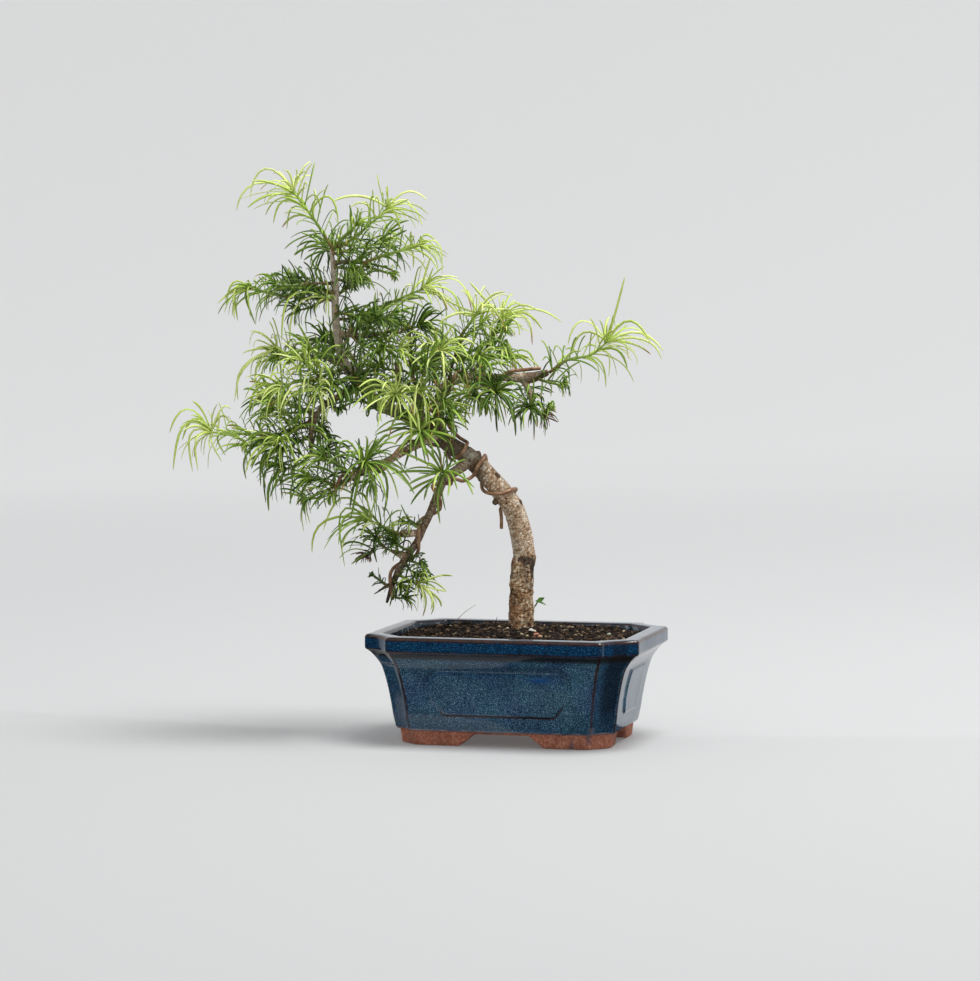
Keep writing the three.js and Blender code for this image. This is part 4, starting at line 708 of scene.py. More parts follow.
limbs = {
    "trunk": [
        [0, 0, -11, 6.6], [0, 0, 3, 7.2], [1, -1, 33, 6.6], [2, -1, 42, 6.3], [-5, -3, 68, 5.9],
        [-26, -5, 93, 5.3], [-40, -3, 103, 4.8], [-54, -1, 114, 4], [-77, 2, 124, 3.4],
        [-83, 2, 129, 3.2], [-93, 4, 142, 3], [-99, 4, 148, 3.1], [-103, 4, 164, 2.2],
        [-104, 3, 179, 2.2], [-104, 2, 192, 2.1], [-106, 2, 212, 1.5],
    ],
    "hang": [
        [-28, -6, 94, 3.4], [-40, -12, 86, 2.7], [-44, -13, 82, 2.6], [-49, -14, 69, 2.4],
        [-55, -12, 56, 2.2], [-58, -12, 49, 2.1], [-65, -12, 39, 2.2], [-71, -13, 27, 1.9],
        [-75, -13, 15, 1.2],
    ],
    "hangKnob": [
        [-64, -12, 41, 2], [-67, -13, 42, 2.2], [-74, -15, 45, 1], [-79, -16, 48, 0.9],
        [-85, -16, 43, 0.8],
    ],
    "hangStub": [[-57, -12, 54, 2], [-66, -18, 54, 2.4]],
    "hangTwig": [[-71, -13, 27, 1.5], [-82, -16, 20, 0.8]],
    "left": [
        [-46, -3, 109, 2.8], [-63, -19, 101, 2.3], [-76, -24, 94, 2.1], [-89, -26, 89, 2.4],
        [-99, -25, 83, 1.7], [-111, -21, 77, 1],
    ],
    "right": [
        [-39, -3, 102, 3], [-44, 2, 110, 2.9], [-47, 8, 125, 2.6], [-41, 11, 137, 2.4],
        [-26, 12, 140, 2.2], [-9, 10, 140, 2.2], [5, 6, 140, 3.3], [15, 5, 143, 2],
    ],
    "centreTwig": [
        [-54, -1, 114, 2], [-56, -8, 124, 1.8], [-58, -13, 134, 1.6], [-61, -14, 145, 1.5],
        [-62, -10, 165, 1.2],
    ],
    "stub": [[-74, 1, 123, 2.2], [-71, -4, 131, 1.9], [-69, -7, 140, 1.8], [-69, -8, 149, 1.8]],
    "redTwig": [[-45, 9, 130, 1.8], [-49, -4, 147, 1.4], [-47, -8, 154, 1]],
    "rightTwigA": [[-30, 12, 139, 1.6], [-25, 14, 146, 1.3], [-17, 15, 161, 1]],
    "rightTwigB": [[-40, 11, 137, 1.6], [-39, 6, 145, 1.3], [-34, 0, 161, 1]],
    "spurA": [[-19, 11, 140, 2], [-14, -1, 132, 1.4]],
    "spurB": [[1, 7, 139, 2], [5, 3, 132, 1.8], [6, -2, 126, 1.5], [11, -3, 121, 1.1]],
    "upperLeft": [[-104, 3, 184, 1.8], [-127, 6, 185, 1]],
    "upperLeftB": [[-104, 2, 193, 1.6], [-118, -8, 193, 1]],
    "topRight": [[-105, 2, 204, 1.8], [-98, 0, 205, 1.4], [-88, -6, 204, 1]],
    "middle": [[-103, 4, 165, 2], [-87, -5, 164, 1.5], [-68, -9, 167, 1.1]],
    "middleB": [[-104, 3, 173, 1.6], [-98, 8, 173, 1.2], [-93, 10, 174, 1]],
    "leftRiser": [
        [-88, 3, 136, 2.4], [-97, -4, 132, 2.1], [-107, -8, 127, 1.9], [-114, -9, 120, 1.8],
        [-117, -10, 109, 1.7], [-117, -10, 97, 1.5],
    ],
    "farLeft": [[-115, -9, 117, 1.6], [-123, -12, 114, 1.3], [-131, -13, 110, 1.1], [-139, -12, 109, 1]],
    "lightLeft": [[-100, 4, 148, 1.8], [-115, 11, 152, 1.2], [-121, 12, 152, 1]],
    "frontLeft": [[-97, 3, 146, 1.8], [-103, -6, 144, 1.4], [-115, -17, 140, 1]],
    "backA": [[-83, 2, 129, 2], [-90, 24, 143, 1.4], [-94, 31, 149, 1]],
    "backB": [[-62, 0, 118, 2.2], [-60, 12, 125, 1.7], [-58, 22, 134, 1.4], [-55, 30, 142, 1]],
    "backC": [[-114, -9, 120, 1.6], [-119, 4, 121, 1.4], [-126, 14, 123, 1.2], [-132, 20, 125, 1]],
    "backD": [[-104, 3, 184, 1.6], [-102, 13, 187, 1.2], [-97, 21, 190, 1]],
    "backE": [[-45, 10, 132, 1.8], [-34, 29, 139, 1]],
    "frontC": [[-66, 0, 119, 1.8], [-69, -17, 131, 1]],
    "knobTop": [[-24, -5, 92, 2.6], [-24, -6, 99, 1.8]],
    "knobUpper": [[-14, -4, 81, 2.6], [-13.5, -7.5, 86, 1.9]],
    "knobUnder": [[-11, -4, 75, 2.6], [-15, -6, 70, 1.8]],
    "knobRight": [[-5, -3, 69, 2.6], [0, -5, 71, 1.7]],
}

woodLook = {
    "station": 1.6,  # mm between the rings of a limb before they are joined
    "voxel": 0.5,
    "slimmer": 0.35,  # mm off the radius of thin twigs, which the solid needs thicker
    "oldBarkTop": 41.0,  # height of the rough dark bark at the foot
    "rings": 0.16,  # height of the fine rings across the bark
    "fissures": 0.35,
    "pimples": 0.28,  # old leaf bases on the branches
    # patches on the front of the trunk: [across, up, half width, half height]
    "lichen": (-28.4, 97.6, 4.2, 3.0),
    "rust": (-3, 9, 4.5, 8),
    # the scar's patches: a dark band under overhanging bark, which is painted shade, and a dark strip down
    # its right side
    "scar": [(3, 38, 4.8, 2.3), (6.8, 33.5, 1.8, 6.5)],
    "cutEnds": ("stub", "hangStub", "right"),
    "knobs": ("knobUpper", "knobTop", "knobUnder", "knobRight"),
}


def limbStations(rows, spacing):
    # points, directions and radii along a limb; the radius runs straight from row to row
    rows = np.array(rows, float)
    spans = len(rows) - 1
    gaps = np.linalg.norm(np.diff(rows[:, :3], axis=0), axis=1)
    pieces = np.ceil(gaps / spacing).astype(int)
    u = np.append(np.concatenate([j + np.arange(n) / n for j, n in enumerate(pieces)]), spans)
    points = splinePoints(rows[:, :3], u / spans)
    ahead, behind = (splinePoints(rows[:, :3], u / spans + step) for step in (1e-4, -1e-4))
    radii = np.interp(u, np.arange(spans + 1), rows[:, 3])
    radii = radii - woodLook["slimmer"] * smoothStep(2.3, 1.4, radii)
    return points, unit(ahead - behind), radii


def woodBars():
    # straight pieces along every limb: ends, radii, limb number and share of its length
    rows = []
    for number, limb in enumerate(limbs.values()):
        points, _, radii = limbStations(limb, 2.5)
        travelled = lengths(points)
        whole = np.ones(len(points) - 1)
        rows.append([
            points[:-1], points[1:], radii[:-1], radii[1:], (whole * number).astype(int),
            travelled[:-1], travelled[1:], whole * travelled[-1],
        ])
    labels = ("a", "b", "ra", "rb", "limb", "from", "to", "length")
    return {label: np.concatenate(values) for label, values in zip(labels, zip(*rows))}


bars = woodBars()


def nearestWood(points):
    # for each point the nearest bar: its number, the foot on its axis, and the gap to its surface
    points = np.atleast_2d(points)
    along = bars["b"] - bars["a"]
    square = np.sum(along * along, axis=1)
    found = []
    for start in range(0, len(points), 3000):
        own = points[start:start + 3000, None]
        t = np.clip(np.sum((own - bars["a"]) * along, axis=-1) / square, 0, 1)
        foot = bars["a"] + along * t[..., None]
        gap = np.linalg.norm(own - foot, axis=-1) - (bars["ra"] + (bars["rb"] - bars["ra"]) * t)
        best = np.argmin(gap, axis=1)
        pick = np.arange(len(best))
        found.append((best, foot[pick, best], gap[pick, best], t[pick, best]))
    return [np.concatenate(parts) for parts in zip(*found)]


def makeWood():
    # a tube along every limb, all fused into one skin and eased where they meet
    parts = []
    for name, rows in limbs.items():
        points, directions, radii = limbStations(rows, woodLook["station"])
        # a cut or rounded end: one more ring beyond the tip, closed by a fan
        points = np.vstack([points, points[-1] + directions[-1] * radii[-1] * 0.35])
        directions = np.vstack([directions, directions[-1]])
        radii = np.append(radii, radii[-1] * (0.86 if name in woodLook["cutEnds"] else 0.6))
        rings = roundTube(points, directions, radii, 20 if radii[0] > 4 else 14)
        parts.append((*closedTube(rings), {}))
    points, faces, _ = gathered(parts)
    wood = makePiece("bark_wood", fromTree(points), faces, [barkWood], ["trunk_and_branches"])
    remesh = wood.modifiers.new("fuse", "REMESH")
    remesh.mode = "VOXEL"
    remesh.voxel_size = woodLook["voxel"] * metre
    smooth = wood.modifiers.new("ease", "SMOOTH")
    smooth.factor = 0.5
    smooth.iterations = 3
    applyModifiers(wood)
    woodRelief(wood.data)
    wood.data.shade_smooth()
    return wood


def woodRelief(mesh):
    # pushes the surface out and in along the spokes of its limb: rings across the bark as noise
    # that is long round the limb and short along it, fissures the other way on the old bark at
    # the foot, and small swellings along the branches; and stores what the material needs
    points = toTree(meshPoints(mesh))
    x, y, z = points.T
    best, foot, _, t = nearestWood(points)
    spoke = points - foot
    radius = np.maximum(np.linalg.norm(spoke, axis=1), 0.2)
    spoke = spoke / radius[:, None]
    axis = unit(bars["b"] - bars["a"])[best]
    reference = np.where(np.abs(axis[:, 1:2]) > 0.9, [[1.0, 0, 0]], [[0, -1.0, 0]])
    front, side = sideways(axis, reference)
    angle = np.arctan2(np.sum(spoke * side, -1), np.sum(spoke * front, -1))
    travelled = bars["from"][best] + (bars["to"] - bars["from"])[best] * t
    whole = bars["length"][best]
    limb = bars["limb"][best].astype(float)
    names = list(limbs)

    def on(*wanted):
        return np.isin(limb, [names.index(name) for name in wanted])

    trunk = on("trunk")
    thick = smoothStep(1.0, 4.5, radius)
    roundA, roundB = np.cos(angle) * radius, np.sin(angle) * radius
    ringPlaces = np.column_stack([roundA / 4.5, roundB / 4.5, travelled / 0.95 + limb * 7])
    rings = field(ringPlaces, 1.0, 11) + 0.6 * field(ringPlaces * [1.7, 1.7, 2.1], 1.0, 12)
    oldTop = woodLook["oldBarkTop"]
    old = smoothStep(oldTop + 3, oldTop - 5, z + 3 * field(points, 6, 4)) * trunk
    cracks = field(np.column_stack([roundA / 1.5, roundB / 1.5, travelled / 5.0]), 1.0, 13)
    flakes = field(points, 2.2, 14)
    lumps = field(points, 9, 15) * 0.35 * thick
    pimples = np.maximum(0, field(points, 2.4, 16) - 0.25) * 1.3 * (1 - thick * 0.6)
    push = rings * woodLook["rings"] * (0.35 + 0.65 * thick)
    push += old * (-np.maximum(0, cracks) * woodLook["fissures"] + flakes * 0.42)
    push += pimples * woodLook["pimples"] + lumps
    endWay = np.sum((points - foot) * axis, -1)
    cutFace = on(*woodLook["cutEnds"]) & (travelled > whole - 0.05) & (endWay > 0.22 * radius)
    push = np.where(cutFace, 0, push)
    moved = fromTree(points + spoke * push[:, None]) * metre
    mesh.vertices.foreach_set("co", moved.astype(np.float32).ravel())
    mesh.update()
    wrinkled = smoothStep(0.82, 0.9, travelled / whole) * on("right")
    wrinkled += on(*woodLook["knobs"]) * smoothStep(1.0, 2.6, travelled)
    lichen = softPatch(x, z, woodLook["lichen"]) * (y < -4)
    # a dark scar, with painted shade where the bark above overhangs it
    scar = np.minimum(*(np.hypot(*fromMiddle(x, z, patch)) for patch in woodLook["scar"]))
    scar = scar + 0.3 * field(points, 2.2, 19)
    rust = softPatch(x, z, woodLook["rust"]) * trunk
    # painted shade: the trunk's left side below the first branches darkened where the crown shades it, and
    # the hanging branch, which hangs in the crown's shade, darkened all along
    dusky = trunk * smoothStep(-17, -24, x) * smoothStep(126, 118, z)
    setAttributes(mesh, {
        "old": old,
        "roundA": roundA,
        "roundB": roundB + limb * 40,
        "alongLimb": travelled,
        "scar": smoothStep(1.05, 0.85, scar) * trunk * (y < 1),
        "dusky": dusky + 0.75 * on("hang"),
        "pale": smoothStep(138, 150, z) * trunk,
        "rust": np.clip(rust * (0.8 + 0.7 * field(points, 2.5, 20)), 0, 1),
        "rings": rings * 0.35 + 0.5,
        "cracks": np.clip(old * np.maximum(0, cracks) * 1.6 - flakes * old * 0.2, 0, 1),
        "cut": cutFace,
        "young": smoothStep(2.2, 1.0, radius) * ~trunk,
        "wrinkled": wrinkled,
        "lichen": np.clip(lichen * (0.75 + 0.9 * field(points, 1.3, 18)), 0, 1),
        "dead": on("hang", "hangKnob", "hangTwig", "hangStub") * smoothStep(38, 28, z),
    })


def makeBark():
    # larch bark: thin, scaly and ringed across, greyish tan on the upper wood and rough and
    # dark brown at the foot; matt, so it shows its colour more than any shine
    material, add = newMaterial("larchBark")
    place = add("TexCoord", out="Object")
    patches, grain = (
        add("TexNoise", {
            "Vector": place, "Scale": perMillimetres(size), "Detail": 4, "Roughness": roughness,
        })
        for size, roughness in ((7, 0.65), (1.3, 0.7))
    )
    # scales: cells in the limb's own places, longer round it than along it, and bent a little
    stretched = add("Math", {0: "alongLimb", 1: 2.1}, {"operation": "MULTIPLY"})
    limbPlace = add("CombineXYZ", {"X": "roundA", "Y": "roundB", "Z": stretched})
    waver = add("TexNoise", {"Vector": limbPlace, "Scale": 0.5, "Detail": 2}, out="Color")
    bent = add("VectorMath", {0: waver, 1: (2.2, 2.2, 2.2), 2: limbPlace}, {"operation": "MULTIPLY_ADD"})
    scales, scaleEdge = (
        add("TexVoronoi", {"Vector": bent, "Scale": 0.62}, {"feature": feature}, out=out)
        for feature, out in (("F1", "Color"), ("DISTANCE_TO_EDGE", "Distance"))
    )
    toned = add("SeparateColor", {"Color": scales})
    tanShare = summed(add, [(patches, 0.6), (toned, 0.24), (grain, 0.78)], 0.06)
    tan, darkBark, shade = (
        add("ValToRGB", {"Fac": pattern}, stops=stops) for pattern, stops in (
            (tanShare, [(0.6, "644830"), (1, "fff3e0"), (0.73, "b48f6c"), (0.87, "e0c6a6")]),
            (tanShare, [(0.6, "20120a"), (1, "efdcbd"), (0.73, "694629"), (0.87, "ae855b")]),
            ("rings", [(0.2, "a8937f"), (0.8, "ffffff"), (0.45, "e2d8cd")]),
        )
    )
    ringed = add(
        "Mix", {0: 0.6, 6: tan, 7: shade}, {"data_type": "RGBA", "blend_type": "MULTIPLY"}, out=2
    )
    crack, specks = (
        add("MapRange", {"Value": pattern, "From Min": low, "From Max": high, "To Min": a, "To Max": b})
        for pattern, low, high, a, b in ((scaleEdge, 0.02, 0.15, 0.6, 0), (grain, 0.3, 0.75, 0.8, 1.15))
    )
    grainy = add("Math", {0: grain, 1: 1.9}, {"operation": "MULTIPLY"})
    crack = add("Math", {0: crack, 1: grainy}, {"operation": "MULTIPLY"})
    colour = layered(add, ringed, [
        [crack, 1, "#503a2b"], ["old", 0.85, darkBark], ["cracks", 0.6, "#2a1d13"],
        # the scar, partly painted shade
        ["scar", 0.85, "#2c1e14"], ["rust", 0.6, "#8c5936"], ["pale", 0.6, "#cfc3b4"],
        # painted shade under the crown on the trunk and the hanging branch
        ["young", 0.75, "#59442f"], ["dusky", 0.8, "#43331f"], ["dead", 0.8, "#453529"],
        ["wrinkled", 0.75, "#4a3425"], ["lichen", 0.6, "#bdb8a4"], ["cut", 1, "#c9ad86"],
    ])
    colour = add("VectorMath", {0: colour, "Scale": specks}, {"operation": "SCALE"})
    scaly = add("Math", {0: scaleEdge, 1: 3.0}, {"operation": "MULTIPLY"})
    scaly = add("Math", {0: scaly, 1: 0.6}, {"operation": "MINIMUM"})
    height = add("Math", {0: grain, 1: scaly}, {"operation": "ADD"})
    return finishMaterial(material, {
        "Base Color": colour, "Roughness": 0.82, "Specular IOR Level": 0.3,
        "Normal": add("Bump", {"Height": height, "Distance": 0.35 * metre, "Strength": 0.75}),
    })


barkWood = makeBark()
wood = makeWood()
print("wood made:", len(wood.data.polygons), "faces")


# Training wires

wireShape = {
    "radius": 1.0,
    "gap": 0.45,  # to the wood, as its straight pieces cut inside the curve
    "step": 3.2,
    "sides": 14,
    # [share of the limb's length, turns from the front]
    "toHanging": [
        (None, [[-10.9, -1, 55.7], [-10.9, -1, 61], [-11.2, 0, 65]]),
        ("trunk", [
            [0.3, -0.3], [0.321, -0.75], [0.334, -1], [0.362, -1.25],
            [0.412, -1.75], [0.408, -2], [0.4, -2.12],
        ]),
        (None, [[-28.5, -10.5, 84.6], [-32.5, -12.5, 83.0], [-36.6, -14.5, 84.4]]),
        ("hang", [[0.17, -0.1], [0.295, -1], [0.584, -2], [0.905, -3], [0.97, -3.2]]),
    ],
    "leftToRight": [
        ("left", [
            [0.95, -2.4], [0.8, -1.75], [0.7, -1], [0.64, -0.75], [0.55, -0.25], [0.46, 0],
            [0.29, 0.25], [0.17, 0.45],
        ]),
        ("trunk", [[0.49, -0.4], [0.462, -0.25], [0.446, 0], [0.45, 0.2], [0.47, 0.25]]),
        ("right", [[0.12, 0.25], [0.2, 0], [0.43, -1], [0.62, -1.75], [0.82, -2.25], [0.97, -2.2]]),
    ],
}


def windings(name, rows):
    # points beside a limb, turning round it from one row of [share, turns] to the next
    shares, turns = [], []
    for j, (share, turn) in enumerate(rows):
        nextShare, nextTurn = rows[j + 1] if j + 1 < len(rows) else (share, turn)
        pieces = max(1, round(abs(nextTurn - turn) * 8))
        part = np.arange(pieces) / pieces
        shares.append(share + (nextShare - share) * part)
        turns.append(turn + (nextTurn - turn) * part)
    route = np.array(limbs[name], float)[:, :3]
    points, directions, _ = alongRoute(route, np.concatenate(shares))
    front, side = sideways(directions, (0, -1, 0))
    angle = 2 * np.pi * np.concatenate(turns)[:, None]
    out = -nearestWood(points)[2][:, None] + wireShape["radius"] + wireShape["gap"]
    return points + out * (front * np.cos(angle) + side * np.sin(angle))


def wireRoute(legs):
    # the legs joined and evenly spaced, then pushed out of the wood wherever they cut into it
    points = np.vstack([
        np.array(rows, float) if name is None else windings(name, rows) for name, rows in legs
    ])
    count = math.ceil(alongRoute(points, [0])[2] / wireShape["step"])
    route = alongRoute(points, np.linspace(0, 1, count + 1))[0]
    for _ in range(8):
        for j in range(len(route)):
            following = min(j + 1, count)
            for half in (0.0, 0.5):
                point = route[j] * (1 - half) + route[following] * half
                _, foot, gap, _ = nearestWood(point)
                missing = max(0.0, wireShape["radius"] + wireShape["gap"] - gap[0])
                outward = unit(point - foot[0])
                route[j] = route[j] + outward * missing
                if following != j and half:
                    route[following] = route[following] + outward * missing / 2
    return route


def makeWire(name, legs, node):
    # a round wire along its route, its ends cut and slightly rounded
    route = wireRoute(legs)
    count = len(route) * 4
    points, directions, _ = alongRoute(route, np.linspace(0, 1, count))
    radii = np.full(count, wireShape["radius"])
    caps = np.array([[0.25, 0.6], [0.12, 0.86]])
    start = [points[0] - directions[0] * reach for reach, _ in caps]
    end = [points[-1] + directions[-1] * reach for reach, _ in caps[::-1]]
    points = np.vstack([start, points, end])
    directions = np.vstack([[directions[0]] * 2, directions, [directions[-1]] * 2])
    radii = np.concatenate([caps[:, 1], radii, caps[::-1, 1]])
    rings = roundTube(points, directions, radii, wireShape["sides"])
    points, faces = closedTube(rings)
    return makePiece(name, fromTree(points), faces, [trainingWire], [node])


def makeWireMaterial():
    # anodised aluminium training wire: drawn soft wire dyed copper brown, with a satin shine
    # that is duller where it has been bent and handled
    material, add = newMaterial("anodisedAluminiumWire")
    place = add("TexCoord", out="Object")
    tarnish = add("TexNoise", {"Vector": place, "Scale": perMillimetres(4), "Detail": 3})
    return finishMaterial(material, {
        "Base Color": add("ValToRGB", {"Fac": tarnish}, stops=[
            (0.3, "75513a"), (0.7, "c6a280"), (0.5, "9f795b"),
        ]),
        "Metallic": 0.3, "Roughness": add("MapRange", {"Value": tarnish, "To Min": 0.55, "To Max": 0.4}),
    })


trainingWire = makeWireMaterial()
makeWire("wire_lower", wireShape["toHanging"], "wire_trunk_to_hanging_branch")
makeWire("wire_upper", wireShape["leftToRight"], "wire_left_branch_to_right_branch")
print("wires made")
